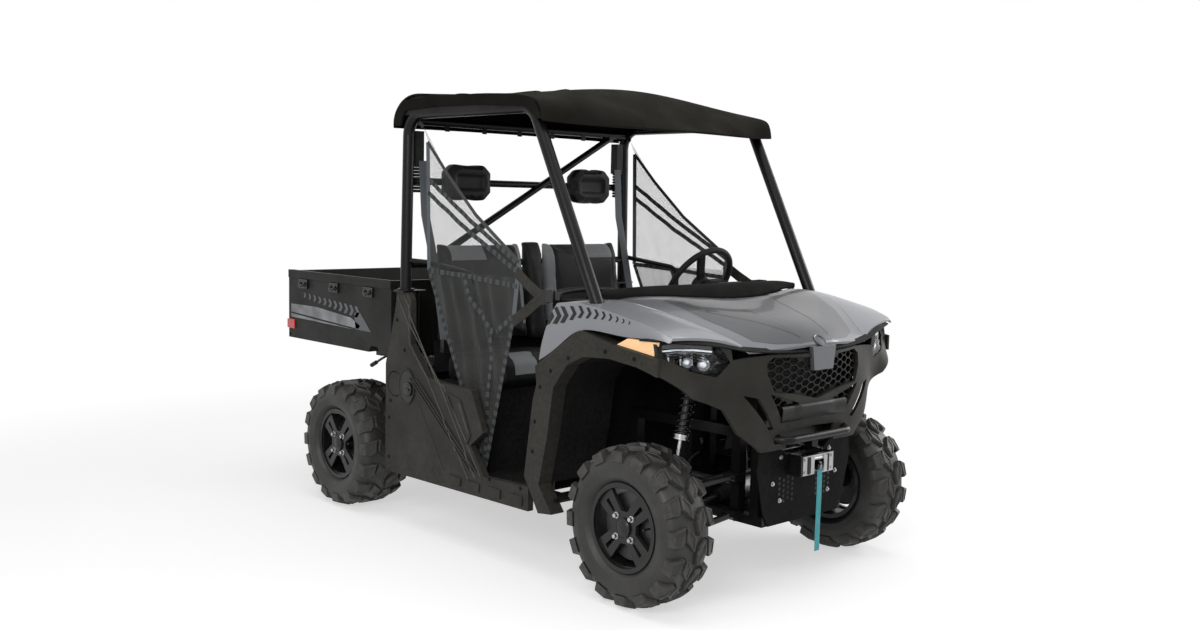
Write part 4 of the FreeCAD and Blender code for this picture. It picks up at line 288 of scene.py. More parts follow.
# %% Weave
cloth_weave, entry, out = new_group("cloth_weave", {"Threads": 600.0}, ("Height", "Gap"))
place = place_in(cloth_weave)
threads = []
for direction in ("DIAGONAL", "Z"):
    bands = put(cloth_weave, "TexWave", bands_direction=direction)
    give(cloth_weave, bands, Vector=place, Scale=entry.outputs["Threads"], Distortion=0.6)
    threads.append(bands.outputs["Fac"])
give(cloth_weave, out, Height=product(cloth_weave, *threads, "MAXIMUM"),
     Gap=product(cloth_weave, *threads))

# %% Paint flakes
paint_flakes, entry, out = new_group("paint_flakes", {"Scale": 2600.0}, ("Sparkle",))
flakes = put(paint_flakes, "TexVoronoi")
give(paint_flakes, flakes, Vector=place_in(paint_flakes), Scale=entry.outputs["Scale"])
grey = put(paint_flakes, "RGBToBW")
give(paint_flakes, grey, Color=flakes.outputs["Color"])
give(paint_flakes, out, Sparkle=grey.outputs[0])
print("effects:", [group.name for group in bpy.data.node_groups])

# %% [markdown]
# Almost all of the vehicle is moulded plastic or powder-coated steel: one dark colour that varies
# a little, a pebbled grain, paler edges where it is rubbed, and some dust on what faces up. One
# function builds that, and each finish calls it with its own colour, gloss and grain.

# %% Tools for materials
looks = {}


def new_look(name):
    """A material with its node tree and its Principled shader."""
    look = looks[name] = bpy.data.materials.new(name + "_look")
    look.use_nodes = True
    return look, look.node_tree, look.node_tree.nodes["Principled BSDF"]


def roughen(tree, skin, height, strength, distance):
    """Let a height bend the light on the surface."""
    bump = put(tree, "Bump")
    give(tree, bump, Strength=strength, Distance=distance, Height=height)
    tree.links.new(bump.outputs[0], skin.inputs["Normal"])


def shaded(colour, factor):
    return tuple(channel * factor for channel in colour)


# %% Plastic and coated steel
RUBBED_PALER, DRY_DUST = 3.0, (0.16, 0.15, 0.13)


def moulded(name, colour, gloss, grain=700.0, depth=0.35, worn=0.22, dust=0.06, shine=0.2):
    """Grained plastic or powder coat: gloss is its middle roughness, shine its reflection."""
    look, tree, skin = new_look(name)
    grained = place_group(tree, pebble_grain, Scale=grain)
    base = mixed(tree, grained.outputs["Mottle"], shaded(colour, 0.82), shaded(colour, 1.2))
    rub = place_group(tree, edge_wear).outputs["Mask"]
    base = mixed(tree, product(tree, rub, worn), base, shaded(colour, RUBBED_PALER))
    dusty = place_group(tree, dust_drift, Amount=dust).outputs["Mask"]
    rough = span(tree, grained.outputs["Mottle"], gloss + 0.07, gloss - 0.05)
    give(tree, skin, Base_Color=mixed(tree, dusty, base, DRY_DUST), Roughness=rough,
         Specular_IOR_Level=shine)
    roughen(tree, skin, grained.outputs["Height"], depth, 0.0006)
    return look


panel_olive = moulded("panel_olive", (0.027, 0.0257, 0.0215), 0.52)
# The ridges' colour, about three times paler than the panel's, is a painted highlight on their
# rounded edges.
ridge_painted_highlight = moulded("ridge_painted_highlight", (0.085, 0.082, 0.073), 0.34)
roof_black = moulded("roof_black", (0.018, 0.0172, 0.0148), 0.78, worn=0.1, dust=0.012, shine=0.01)
bed_black = moulded("bed_black", (0.011, 0.0107, 0.0100), 0.52)
floor_black = moulded("floor_black", (0.016, 0.016, 0.0155), 0.74, grain=400.0, worn=0.12,
                      dust=0.02, shine=0.01)
dash_black = moulded("dash_black", (0.013, 0.013, 0.0128), 0.60, dust=0.03, shine=0.06)
moulded("frame_black", (0.006, 0.006, 0.0062), 0.30, grain=1400.0, depth=0.15)
moulded("arm_black", (0.008, 0.008, 0.0085), 0.32, grain=1400.0, depth=0.15, shine=0.4)
skid_black = moulded("skid_black", (0.006, 0.006, 0.006), 0.45, grain=900.0, worn=0.4, shine=0.04)
shock_black = moulded("shock_black", (0.007, 0.007, 0.0075), 0.24, grain=1600.0, depth=0.08,
                      shine=0.4)
grille_black = moulded("grille_black", (0.014, 0.014, 0.0132), 0.40, grain=1000.0, depth=0.2)
rim_black = moulded("rim_black", (0.012, 0.012, 0.0115), 0.28, grain=1500.0, depth=0.1, shine=0.35)
column_black = moulded("column_black", (0.010, 0.010, 0.0105), 0.42)
rubber_black = moulded("rubber_black", (0.013, 0.013, 0.013), 0.60, grain=500.0)
print("plastics and coats:", len(looks))

# %% [markdown]
# Bare metal needs a high Metallic value and a roughness that varies, so that it doesn't look like
# grey plastic. Castings are duller and grained, drawn steel is smooth.

# %% Bare metal
OILY_DUST = (0.13, 0.12, 0.10)


def bare_metal(name, colour, gloss, grain, depth, dust=0.15):
    """Cast or drawn metal."""
    look, tree, skin = new_look(name)
    grained = place_group(tree, pebble_grain, Scale=grain)
    base = mixed(tree, grained.outputs["Mottle"], shaded(colour, 0.75), colour)
    dusty = place_group(tree, dust_drift, Amount=dust).outputs["Mask"]
    rough = span(tree, grained.outputs["Mottle"], gloss + 0.12, gloss)
    give(tree, skin, Base_Color=mixed(tree, dusty, base, OILY_DUST), Roughness=rough, Metallic=1.0)
    roughen(tree, skin, grained.outputs["Height"], depth, 0.0008)
    return look


bare_metal("cast_alloy", (0.52, 0.52, 0.53), 0.34, 420.0, 0.5)
bare_metal("engine_metal", (0.30, 0.30, 0.31), 0.42, 380.0, 0.5, dust=0.5)
bare_metal("muffler_steel", (0.34, 0.33, 0.32), 0.36, 900.0, 0.2)
knuckle_iron = bare_metal("knuckle_iron", (0.10, 0.10, 0.10), 0.45, 500.0, 0.5)
bare_metal("shaft_steel", (0.09, 0.09, 0.09), 0.38, 900.0, 0.2)
bright_steel = bare_metal("bright_steel", (0.50, 0.50, 0.51), 0.20, 1500.0, 0.05, dust=0.05)
print("looks so far:", len(looks))

# %% [markdown]
# The bonnet and wings wear silver-grey metallic paint: a metallic base whose tiny flakes differ in
# gloss, under a clear coat. A darker graphite of the same make fills the bonnet's inset fields.

# %% Metallic paint
def metallic_paint(name, colour, coat):
    """Flakes of two tones under a clear coat, with a slow drift of tone over the panel."""
    look, tree, skin = new_look(name)
    flake = place_group(tree, paint_flakes).outputs["Sparkle"]
    drift = place_group(tree, pebble_grain, Scale=30.0).outputs["Mottle"]
    base = mixed(tree, flake, shaded(colour, 0.88), shaded(colour, 1.12))
    base = mixed(tree, product(tree, drift, 0.25), base, shaded(colour, 0.8))
    give(tree, skin, Base_Color=base, Roughness=span(tree, flake, 0.26, 0.42), Metallic=0.45,
         Coat_Weight=coat, Coat_Roughness=0.06)
    return look


metallic_paint("body_silver", (0.27, 0.275, 0.295), 0.3)
metallic_paint("hood_silver", (0.165, 0.168, 0.182), 0.3)
body_grey = metallic_paint("body_grey", (0.066, 0.068, 0.075), 0.3)
body_graphite = metallic_paint("body_graphite", (0.033, 0.034, 0.038), 0.5)
decal_grey = metallic_paint("decal_grey", (0.10, 0.105, 0.12), 0.15)
decal_black = metallic_paint("decal_black", (0.007, 0.007, 0.0075), 0.1)

decal_white, tree, skin = new_look("decal_white")
flecks = place_group(tree, pebble_grain, Scale=300.0).outputs["Mottle"]
cloudy = span(tree, noise_at(tree, place_in(tree), 9.0, 2.0), 0, 1, 0.35, 0.65)
give(tree, skin, Base_Color=mixed(tree, cloudy, (0.20, 0.205, 0.22), (0.42, 0.43, 0.45)),
     Roughness=span(tree, flecks, 0.50, 0.36))
print("looks with paint and decals:", len(looks))

# %% [markdown]
# Lamp lenses: amber and red ones are coloured clear plastic over a bright reflector, which a
# little transmission and a low roughness give. The headlamp's cover is plain clear plastic.

# %% Lamp lenses
def lens(name, colour, transmission, glow=0.0):
    """Ribbed coloured plastic that lets some light through and has a little glow of its own."""
    look, tree, skin = new_look(name)
    ribs = put(tree, "TexWave", bands_direction="Z")
    give(tree, ribs, Scale=70, Vector=place_in(tree))
    give(tree, skin, Base_Color=mixed(tree, ribs.outputs["Fac"], shaded(colour, 0.85), colour),
         Roughness=0.12, Transmission_Weight=transmission, Coat_Weight=0.5,
         Emission_Color=colour, Emission_Strength=glow)
    roughen(tree, skin, ribs.outputs["Fac"], 0.15, 0.001)
    return look


lens("amber_lens", (0.95, 0.60, 0.30), 0.05, 0.42)
lens("lamp_red", (0.72, 0.015, 0.012), 0.05, 0.12)
led_white = lens("led_white", (0.75, 0.80, 0.85), 0.0, 0.22)
clear_cover, tree, skin = new_look("clear_cover")
give(tree, skin, Base_Color=(1, 1, 1), Roughness=0.03, Transmission_Weight=1.0, IOR=1.12)
print("looks with lamps:", len(looks))

# %% [markdown]
# Cloth: the pull strap and belts are tight webbing, the seats are grained vinyl with paler insets,
# and the side nets are an open mesh whose holes are cut with Alpha.

# %% Webbing and binding tape
def webbing(name, colour):
    """Tight woven tape."""
    look, tree, skin = new_look(name)
    weave = place_group(tree, cloth_weave, Threads=900.0)
    mottle = place_group(tree, pebble_grain, Scale=90.0).outputs["Mottle"]
    # Darker where the weave is low: painted shade between the threads.
    base = mixed(tree, weave.outputs["Height"], shaded(colour, 0.55), colour)
    base = mixed(tree, product(tree, mottle, 0.3), base, shaded(colour, 1.3))
    give(tree, skin, Base_Color=base, Roughness=0.72, Sheen_Weight=0.25)
    roughen(tree, skin, weave.outputs["Height"], 0.6, 0.0008)
    return look


strap_cyan = webbing("strap_cyan", (0.06, 0.52, 0.58))
belt_black = webbing("belt_black", (0.030, 0.030, 0.031))
belt_grey = webbing("belt_grey", (0.12, 0.135, 0.15))


def chequered(name):
    """Folded binding tape: dark blocks on grey, all along its length."""
    look, tree, skin = new_look(name)
    along = put(tree, "SeparateXYZ")
    tree.links.new(put(tree, "TexCoord").outputs["UV"], along.inputs[0])
    step = product(tree, product(tree, along.outputs["X"], 26.0), 1.0, "FRACT")
    edge = product(tree, product(tree, along.outputs["Y"], 0.5, "SUBTRACT"), 0.0, "ABSOLUTE")
    block_mask = product(tree, product(tree, step, 0.45, "GREATER_THAN"), edge)
    block_mask = span(tree, block_mask, 0, 1, 0.02, 0.05)
    weave = place_group(tree, cloth_weave, Threads=900.0)
    base = mixed(tree, block_mask, (0.020, 0.020, 0.021), (0.105, 0.12, 0.125))
    base = mixed(tree, product(tree, weave.outputs["Height"], 0.4), base, (0.01, 0.01, 0.01))
    give(tree, skin, Base_Color=base, Roughness=0.7)
    roughen(tree, skin, weave.outputs["Height"], 0.6, 0.0008)
    return look


net_binding = chequered("net_binding")

# %% Net mesh
def open_mesh(name, colour, gap_share):
    """Fine mesh cloth: the gaps between its threads are holes."""
    look, tree, skin = new_look(name)
    weave = place_group(tree, cloth_weave, Threads=420.0)
    solid = product(tree, weave.outputs["Gap"], gap_share, "GREATER_THAN")
    mottle = place_group(tree, pebble_grain, Scale=60.0).outputs["Mottle"]
    give(tree, skin, Base_Color=mixed(tree, mottle, shaded(colour, 0.7), shaded(colour, 1.4)),
         Alpha=solid, Roughness=0.75, Sheen_Weight=0.3)
    roughen(tree, skin, weave.outputs["Height"], 0.5, 0.001)
    return look


net_sheer = open_mesh("net_sheer", (0.035, 0.035, 0.034), 0.22)
net_dense = open_mesh("net_dense", (0.028, 0.028, 0.026), 0.06)
print("looks with cloth:", len(looks))

# %% [markdown]
# The frame's own pieces keep their meshes, and each gets the finish of its real part. Pieces that
# are too plain for a close look are stood in for further down.

# %% Dress the frame
FINISHES = {
    "frame_black": ("chassis_frame", "rops_sides", "rops_crossbars", "hip_bars", "bull_bar"),
    "skid_black": ("skid_plates",),
    "engine_metal": ("engine_block",),
    "shaft_steel": ("half_shafts",),
    "muffler_steel": ("muffler",),
    "arm_black": ("front_arms", "rear_arms"),
    "shock_black": ("shock_absorbers", "winch"),
    "knuckle_iron": ("knuckle_right", "knuckle_left", "rear_hub_carriers", "steering_rack"),
    "column_black": ("steering_column",),
    "rubber_black": ("steering_wheel", "tyre_front_right", "tyre_front_left", "tyre_rear_right",
                     "tyre_rear_left", "belt_retractors"),
    "rim_black": ("rim_front_right", "rim_front_left", "rim_rear_right", "rim_rear_left"),
    "roof_black": ("roof_panel",),
    "bed_black": ("cargo_bed", "tailgate"),
    "lamp_red": ("tail_lamps",),
    "panel_olive": ("side_panels", "fender_flares", "front_fascia"),
    "dash_black": ("dashboard", "seat_base", "arch_liners"),
    "floor_black": ("floor_pan", "cowl"),
    "body_silver": ("fender_panels",),
    "hood_silver": ("hood",),
    "amber_lens": ("turn_lamps",),
    "grille_black": ("grille", "headrests", "seat_cushions", "seat_backs", "net_right", "net_left"),
    "clear_cover": ("headlamps",),
    "cast_alloy": ("drive_units",),
    "strap_cyan": ("winch_strap",),
}
for finish, names in FINISHES.items():
    for name in names:
        for material_slot in nodes[name].material_slots:
            material_slot.material = looks[finish]
dressed = {name for names in FINISHES.values() for name in names}
print("dressed", len(dressed), "of", len(nodes), sorted(set(nodes) - dressed))

# %% [markdown]
# The small parts are drawn with a few mesh makers: a slab, a rod, a turned form, a tube or ribbon
# along a line. Several such forms gathered in one mesh make a piece that then rides on its body.

# %% Mesh makers
def slab(mould, low, high, turn=None):
    """A block between two corners, turned about its middle."""
    low, high = Vector(low), Vector(high)
    place = Matrix.Translation((low + high) / 2) @ (turn or Matrix.Identity(4))
    bmesh.ops.create_cube(mould, size=1, matrix=place @ Matrix.Diagonal((*(high - low), 1)))


def side_slab(mould, side, x_span, y, half, z_span, turn=None):
    """A block that stands a half thickness to each side of a plane y, on the left or the right."""
    (x1, x2), (z1, z2) = x_span, z_span
    slab(mould, (x1, side * y - half, z1), (x2, side * y + half, z2), turn)


def pitched(degrees):
    """A turn about the cross axis: a positive one lowers the front."""
    return Matrix.Rotation(math.radians(degrees), 4, "Y")


def mirrored(side, places):
    """Places of the left side, or their mirror image for the right."""
    return [Vector((x, side * y, z)) for x, y, z in places]


def circle(count):
    """The angles of points spaced evenly round a circle."""
    return [2 * math.pi * k / count for k in range(count)]


def rod(mould, start, end, radius, end_radius=None, sides=20):
    """A cylinder or a cone between two places."""
    start, end = Vector(start), Vector(end)
    run = end - start
    place = Matrix.Translation((start + end) / 2) @ run.to_track_quat("Z", "Y").to_matrix().to_4x4()
    bmesh.ops.create_cone(mould, cap_ends=True, segments=sides, radius1=radius,
                          radius2=radius if end_radius is None else end_radius,
                          depth=run.length, matrix=place)


def skin_rings(mould, rings, closed=True, caps=True):
    """Faces between rings of points that have the same count."""
    made = [[mould.verts.new(place) for place in ring] for ring in rings]
    for near, far in zip(made, made[1:]):
        count = len(near)
        for k in range(count if closed else count - 1):
            mould.faces.new((near[k], near[(k + 1) % count], far[(k + 1) % count], far[k]))
    if caps:
        mould.faces.new(made[0][::-1])
        mould.faces.new(made[-1])
    return made


def turned(mould, start, axis, profile, sides=32, caps=True):
    """A round form from pairs of distance along an axis and radius."""
    turn = Vector(axis).to_track_quat("Z", "Y")
    rings = [[Vector(start) + turn @ Vector((radius * math.cos(a), radius * math.sin(a), along))
              for a in circle(sides)] for along, radius in profile]
    return skin_rings(mould, rings, caps=caps)


def ahead_at(line, k):
    """The direction of a line at its point k."""
    return (line[min(k + 1, len(line) - 1)] - line[max(k - 1, 0)]).normalized()


def frames_along(line):
    """Each point of a line with two directions square to it, turning as little as they can."""
    side = None
    for k, place in enumerate(line):
        ahead = ahead_at(line, k)
        side = ahead.orthogonal() if side is None else side
        side = (side - ahead * side.dot(ahead)).normalized()
        yield place, side, ahead.cross(side)


def tube(mould, line, radius, sides=10):
    """A round bar along a line."""
    skin_rings(mould, [[place + (side * math.cos(a) + other * math.sin(a)) * radius
                        for a in circle(sides)] for place, side, other in frames_along(line)])


def ribbon(mould, line, wide, thick, face):
    """A flat band along a line, its flat side toward a direction; U runs along it, in metres."""
    uv = mould.loops.layers.uv.verify()
    face = Vector(face).normalized()
    ring_share = ((-0.5, -0.5), (0.5, -0.5), (0.5, 0.5), (-0.5, 0.5))
    rings, runs, run = [], [], 0.0
    for k, place in enumerate(line):
        ahead = ahead_at(line, k)
        across = ahead.cross(face).normalized()
        outward = across.cross(ahead)
        run += (place - line[k - 1]).length if k else 0.0
        rings.append([place + across * wide * a + outward * thick * b for a, b in ring_share])
        runs.append(run)
    made = skin_rings(mould, rings)
    for run, ring in zip(runs, made):
        for vert, (a, b) in zip(ring, ring_share):
            for loop in vert.link_loops:
                loop[uv].uv = (run, a + 0.5)


SHARP = 35


def settle(mould, name, look, body, slot, bevel=0.0, sharp=SHARP):
    """Turn a mould into a piece that rides on a body of the frame."""
    bmesh.ops.recalc_face_normals(mould, faces=mould.faces)
    mesh = bpy.data.meshes.new(name)
    mould.to_mesh(mesh)
    mould.free()
    mesh.materials.append(look)
    mesh.shade_smooth()
    mesh.set_sharp_from_angle(angle=math.radians(sharp))
    piece = bpy.data.objects.new(name, mesh)
    bpy.context.scene.collection.objects.link(piece)
    if bevel:
        rounding = piece.modifiers.new("edge", "BEVEL")
        rounding.width, rounding.segments, rounding.limit_method = bevel, 2, "ANGLE"
        rounding.angle_limit = math.radians(SHARP)
    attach(piece, body)
    return piece


def bolt(mould, place, outward, size=0.008):
    """A flanged hexagon head."""
    place, outward = Vector(place), Vector(outward).normalized()
    rod(mould, place, place + outward * size * 0.25, size * 1.15, sides=14)
    rod(mould, place, place + outward * size * 0.9, size * 0.8, size * 0.72, sides=6)


# %% [markdown]
# The strap is a ribbon of webbing. Its line is read from the smooth curve above: webbing is limp,
# so it hangs plumb with only a slight bow.

# %% Strap ribbon
def points_of(curve_piece):
    """The smooth line of a curve object, which is then no longer needed."""
    bpy.context.view_layer.update()
    line = bpy.data.meshes.new_from_object(curve_piece)
    places = [vert.co.copy() for vert in line.vertices]
    bpy.data.meshes.remove(line)
    bpy.data.objects.remove(curve_piece)
    return places


strap_line = points_of(spline_through("strap_route", STRAP_ROUTE))
strap_run = sum((b - a).length for a, b in zip(strap_line, strap_line[1:]))
mould = bmesh.new()
ribbon(mould, strap_line, STRAP_WIDE, STRAP_THICK, (1, 0, 0))
pull_strap = settle(mould, "pull_strap", strap_cyan, "chassis", "strap_cyan", bevel=0.0006)
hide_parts("winch_strap")
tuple(STRAP_ROUTE[0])
print("strap", round(strap_run, 4), "m of webbing,", len(strap_line), "points")

# %% [markdown]
# A trail tyre's carcass is turned from a smooth profile, and its tread is two rings of blocks on
# each side, half a pitch apart, that lean forward to make a broken V. Each block has a sunken
# panel with a raised rim, and its foot is chamfered. The blocks follow the layout of the frame's
# tyres.

# %% Tyres
TIP_R, LUG_TALL, PITCHES = 0.2986, 0.017, 16
CENTRE_BLOCK = ((0.03, 0.40), (0.42, 0.0), (0.51, 0.32), (0.50, 0.46), (0.12, 0.82))
SHOULDER_BLOCK = ((0.56, 0.0), (0.985, 0.10), (0.985, 0.60), (0.72, 0.62), (0.58, 0.44))
TOP_FALL, FOOT_FALL = 0.34, 0.66
TYRE_SIDES = 112


def smooth_line(points, steps=5):
    """A curve through every point, for a turned profile."""
    padded = [points[0], *points, points[-1]]
    line = []
    for a, b, c, d in zip(padded, padded[1:], padded[2:], padded[3:]):
        for k in range(steps):
            t = k / steps
            line.append(tuple(0.5 * (2 * q + (r - p) * t + (2 * p - 5 * q + 4 * r - s) * t * t
                                     + (3 * q - p - 3 * r + s) * t ** 3)
                              for p, q, r, s in zip(a, b, c, d)))
    return line + [points[-1]]


def carcass(mould, centre, half, seat):
    """Sidewalls with thin raised rings, the crown and the inside, down to the rim's seats."""
    crown = TIP_R - LUG_TALL
    wall = [(seat, 0.1545), (seat + 0.002, 0.1672), (half - 0.010, 0.181), (half - 0.003, 0.197),
            (half, 0.2302), (half - 0.009, 0.2586), (half - 0.030, 0.2745), (half * 0.5, crown)]
    outer = smooth_line(wall)
    ribbed = []
    for across, radius in outer:
        for ring_r in (0.186, 0.190, 0.2165):
            across += 0.0011 * math.exp(-((radius - ring_r) / 0.0013) ** 2)
        ribbed.append((across, radius))
    profile = ribbed + [(0, crown + 0.001)] + [(-across, radius) for across, radius in ribbed[::-1]]
    inside = [(-seat + 0.011, 0.156), (-half + 0.012, 0.23), (0, 0.268), (half - 0.012, 0.23),
              (seat - 0.011, 0.156)]
    profile += smooth_line(inside, 3)
    profile.append(profile[0])
    turned(mould, centre, (0, 1, 0), profile, TYRE_SIDES, caps=False)


def block_rings(corners, side, half, top_fall, foot_fall):
    """Rings of one tread block from its foot to its sunken panel: (along, across, height)."""
    pitch = 2 * math.pi * TIP_R / PITCHES
    middle = sum(along for across, along in corners) / len(corners)
    ring = [((along - middle) * pitch, side * across * half) for across, along in corners]
    centre = (sum(a for a, b in ring) / len(ring), sum(b for a, b in ring) / len(ring))
    near = min(abs(across) for along, across in ring)
    rings = []
    for inset, lower, fall in ((-0.0035, LUG_TALL + 0.004, foot_fall), (0.0, 0.0035, top_fall),
                               (0.0022, 0.0, top_fall), (0.0072, 0.0, top_fall),
                               (0.0088, 0.0030, top_fall)):
        places = []
        for along, across in ring:
            away = Vector((along - centre[0], across - centre[1]))
            spot = away * max(0.15, 1 - 1.5 * inset / away.length) + Vector(centre)
            places.append((spot.x, spot.y, TIP_R - lower - fall * max(0.0, abs(spot.y) - near)))
        rings.append(places)
    return rings, middle


def tread(mould, centre, half):
    """Both sides' blocks, bent round the tyre."""
    for side, start in ((1, 0), (-1, 0.5)):
        for corners, top_fall, foot_fall in ((CENTRE_BLOCK, 0, 0),
                                             (SHOULDER_BLOCK, TOP_FALL, FOOT_FALL)):
            rings, middle = block_rings(corners, side, half, top_fall, foot_fall)
            for turn in range(PITCHES):
                base = math.pi + (turn + start + middle) * 2 * math.pi / PITCHES
                wrapped = [[Vector(centre) + Vector((up * math.sin(base + along / TIP_R), across,
                                                     up * math.cos(base + along / TIP_R)))
                            for along, across, up in ring] for ring in rings]
                skin_rings(mould, wrapped)


def tyre(name, body, centre, half, seat):
    mould = bmesh.new()
    carcass(mould, centre, half, seat)
    tread(mould, centre, half)
    piece = settle(mould, "rubber_" + name, looks["tyre_rubber"], body, "tyre_black", sharp=28)
    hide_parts("tyre_" + name)
    return piece


tree, skin = new_look("tyre_rubber")[1:]
grained = place_group(tree, pebble_grain, Scale=260.0)
base = mixed(tree, grained.outputs["Mottle"], (0.013, 0.0127, 0.0118), (0.025, 0.0243, 0.0225))
# Paler lug edges: partly scuffed rubber, partly a painted highlight on the lugs' edges.
scuff_and_edge_highlight = place_group(tree, edge_wear, Patch_Scale=40.0).outputs["Mask"]
base = mixed(tree, product(tree, scuff_and_edge_highlight, 0.5), base, (0.075, 0.070, 0.060))
dusty = place_group(tree, dust_drift, Scale=14.0, Amount=0.15).outputs["Mask"]
give(tree, skin, Base_Color=mixed(tree, dusty, base, (0.11, 0.10, 0.085)),
     Roughness=span(tree, grained.outputs["Mottle"], 0.58, 0.42))
roughen(tree, skin, grained.outputs["Height"], 0.35, 0.0012)

FRONT_X, REAR_X, AXLE_Z = 1.095, -0.835, 0.299
WHEELS = {}
for end, x, y, half, seat in (("front", FRONT_X, 0.619, 0.104, 0.0777),
                              ("rear", REAR_X, 0.613, 0.131, 0.0997)):
    for hand, side in (("right", -1), ("left", 1)):
        WHEELS[end + "_" + hand] = (x, side * y, side, half, seat)
for name, (x, y, side, half, seat) in WHEELS.items():
    made = tyre(name, "wheel_" + name, (x, y, AXLE_Z), half, seat)
print("tyre triangles", sum(len(face.vertices) - 2 for face in made.data.polygons))

# %% [markdown]
# Each rim is held by four nuts round a domed cap, its valve pokes through beside a spoke, and a
# brake disc shows between the spokes. They ride on the wheel's body, so that they turn with it.

# %% Wheel nuts, caps and valves
NUT_RING, NUTS, HUB_IN = 0.055, 4, 0.030
BRAKE_Y = 0.655
for name, (x, y, side, half, seat) in WHEELS.items():
    face_y = y + side * (half - HUB_IN)
    outward = Vector((0, side, 0))
    mould = bmesh.new()
    for k in range(NUTS):
        angle = math.radians(45) + 2 * math.pi * k / NUTS
        foot = Vector((x + NUT_RING * math.cos(angle), face_y, AXLE_Z + NUT_RING * math.sin(angle)))
        rod(mould, foot, foot + outward * 0.003, 0.0125, sides=20)
        rod(mould, foot, foot + outward * 0.015, 0.0095, 0.0085, sides=6)
    settle(mould, "wheel_nuts_" + name, bright_steel, "wheel_" + name, "rim_black", bevel=0.0008)
    mould = bmesh.new()
    turned(mould, (x, side * BRAKE_Y, AXLE_Z), outward,
           [(0, 0.046), (0, 0.126), (0.005, 0.126), (0.005, 0.046), (0, 0.046)], 48, caps=False)
    settle(mould, "brake_disc_" + name, knuckle_iron, "wheel_" + name, "rim_black")
    mould = bmesh.new()
    turned(mould, (x, face_y, AXLE_Z), outward,
           [(0.0, 0.036), (0.008, 0.036), (0.0105, 0.033), (0.0105, 0.029), (0.0125, 0.027),
            (0.0150, 0.018), (0.0158, 0.001)], 40)
    valve = Vector((x + 0.122, face_y - side * 0.01, AXLE_Z + 0.02))
    rod(mould, valve, valve + outward * 0.026, 0.0045, 0.0035, sides=12)
    rod(mould, valve + outward * 0.026, valve + outward * 0.034, 0.0042, sides=12)
    settle(mould, "hub_cap_" + name, rim_black, "wheel_" + name, "rim_black")
print("wheel trim on", len(WHEELS), "wheels")

# %% [markdown]
# A coil-over is a damper inside a spring. The frame has it as one turned shape, so the real
# pieces stand in for it: eye, chromed rod, bright adjuster collar, body and a wound coil.

# %% Coil-over shocks
SHOCK_ENDS = [((FRONT_X, 0.440, 0.4374), (FRONT_X, 0.346, 0.826)),
              ((REAR_X, 0.430, 0.4393), (REAR_X, 0.300, 0.716))]
COIL_R, WIRE_R, TURNS = 0.0268, 0.0042, 8


def coil_line(start, run, long):
    """A helix whose end turns lie closer, as a ground spring's do."""
    side = run.orthogonal().normalized()
    other = run.cross(side)
    line = []
    for k in range(TURNS * 18 + 1):
        share = k / (TURNS * 18)
        eased = share - 0.06 * math.sin(2 * math.pi * share)
        angle = 2 * math.pi * TURNS * share
        line.append(start + run * long * eased
                    + (side * math.cos(angle) + other * math.sin(angle)) * COIL_R)
    return line


springs, dampers, chrome = bmesh.new(), bmesh.new(), bmesh.new()
for low_end, top_end in SHOCK_ENDS:
    for side in (-1, 1):
        low, top = mirrored(side, (low_end, top_end))
        long = (top - low).length
        run = (top - low) / long
        for eye in (low, top):
            turned(dampers, eye - Vector((0.0148, 0, 0)), (1, 0, 0),
                   [(0, 0.0085), (0, 0.0125), (0.0296, 0.0125), (0.0296, 0.0085)], 24)
        collar = low + run * 0.42 * long
        turned(chrome, low + run * 0.010, run, [(0, 0.008), (0.42 * long, 0.008)], 20)
        turned(chrome, collar - run * 0.012, run,
               [(0, 0.022), (0, 0.0305), (0.006, 0.0305), (0.007, 0.027), (0.012, 0.027),
                (0.013, 0.0305), (0.019, 0.0305), (0.019, 0.018)], 36)
        coil_long = long * 0.58 - 0.045
        turned(dampers, collar, run, [(0, 0.014), (0, 0.0205), (coil_long, 0.0205),
                                      (coil_long + 0.004, 0.029), (coil_long + 0.010, 0.030),
                                      (coil_long + 0.020, 0.016), (coil_long + 0.032, 0.012)], 32)
        turned(dampers, low + run * 0.006, run, [(0, 0.010), (0.020, 0.013), (0.028, 0.013),
                                                (0.030, 0.009)], 24)
        tube(springs, coil_line(collar + run * 0.011, run, coil_long - 0.012), WIRE_R, 10)
damper_bodies = settle(dampers, "damper_bodies", shock_black, "chassis", "shock_black")
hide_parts("shock_absorbers")
settle(springs, "coil_springs", shock_black, "chassis", "shock_black", sharp=60)
settle(chrome, "damper_rods", bright_steel, "chassis", "shock_black")
print("shocks:", 2 * len(SHOCK_ENDS))

# %% [markdown]
# Behind the honeycomb stands the radiator. Through the cells only its dark finned face shows, so
# it is a finned slab with two side tanks on the front posts' cross member.

# %% Radiator
RADIATOR_X, RADIATOR_HALF, RADIATOR_LOW, RADIATOR_TOP = 1.318, 0.265, 0.668, 0.925
FINS, FIN_PITCH, FIN_THICK = 26, 0.0098, 0.002
FOOT_Y, FOOT_Z = 0.225, 0.638
mould = bmesh.new()
slab(mould, (RADIATOR_X - 0.020, -RADIATOR_HALF, RADIATOR_LOW),
     (RADIATOR_X, RADIATOR_HALF, RADIATOR_TOP))
for k in range(FINS):
    z = RADIATOR_LOW + 0.006 + k * FIN_PITCH
    slab(mould, (RADIATOR_X, -RADIATOR_HALF, z), (RADIATOR_X + 0.004, RADIATOR_HALF, z + FIN_THICK))
for side in (-1, 1):
    turned(mould, (RADIATOR_X - 0.010, side * RADIATOR_HALF, RADIATOR_LOW), (0, 0, 1),
           [(0, 0.010), (0.004, 0.018), (0.253, 0.018), (0.257, 0.010)], 16)
    side_slab(mould, side, (RADIATOR_X - 0.022, RADIATOR_X - 0.006), FOOT_Y, 0.012,
              (FOOT_Z, RADIATOR_LOW + 0.01))
settle(mould, "radiator", grille_black, "chassis", "grille_black")
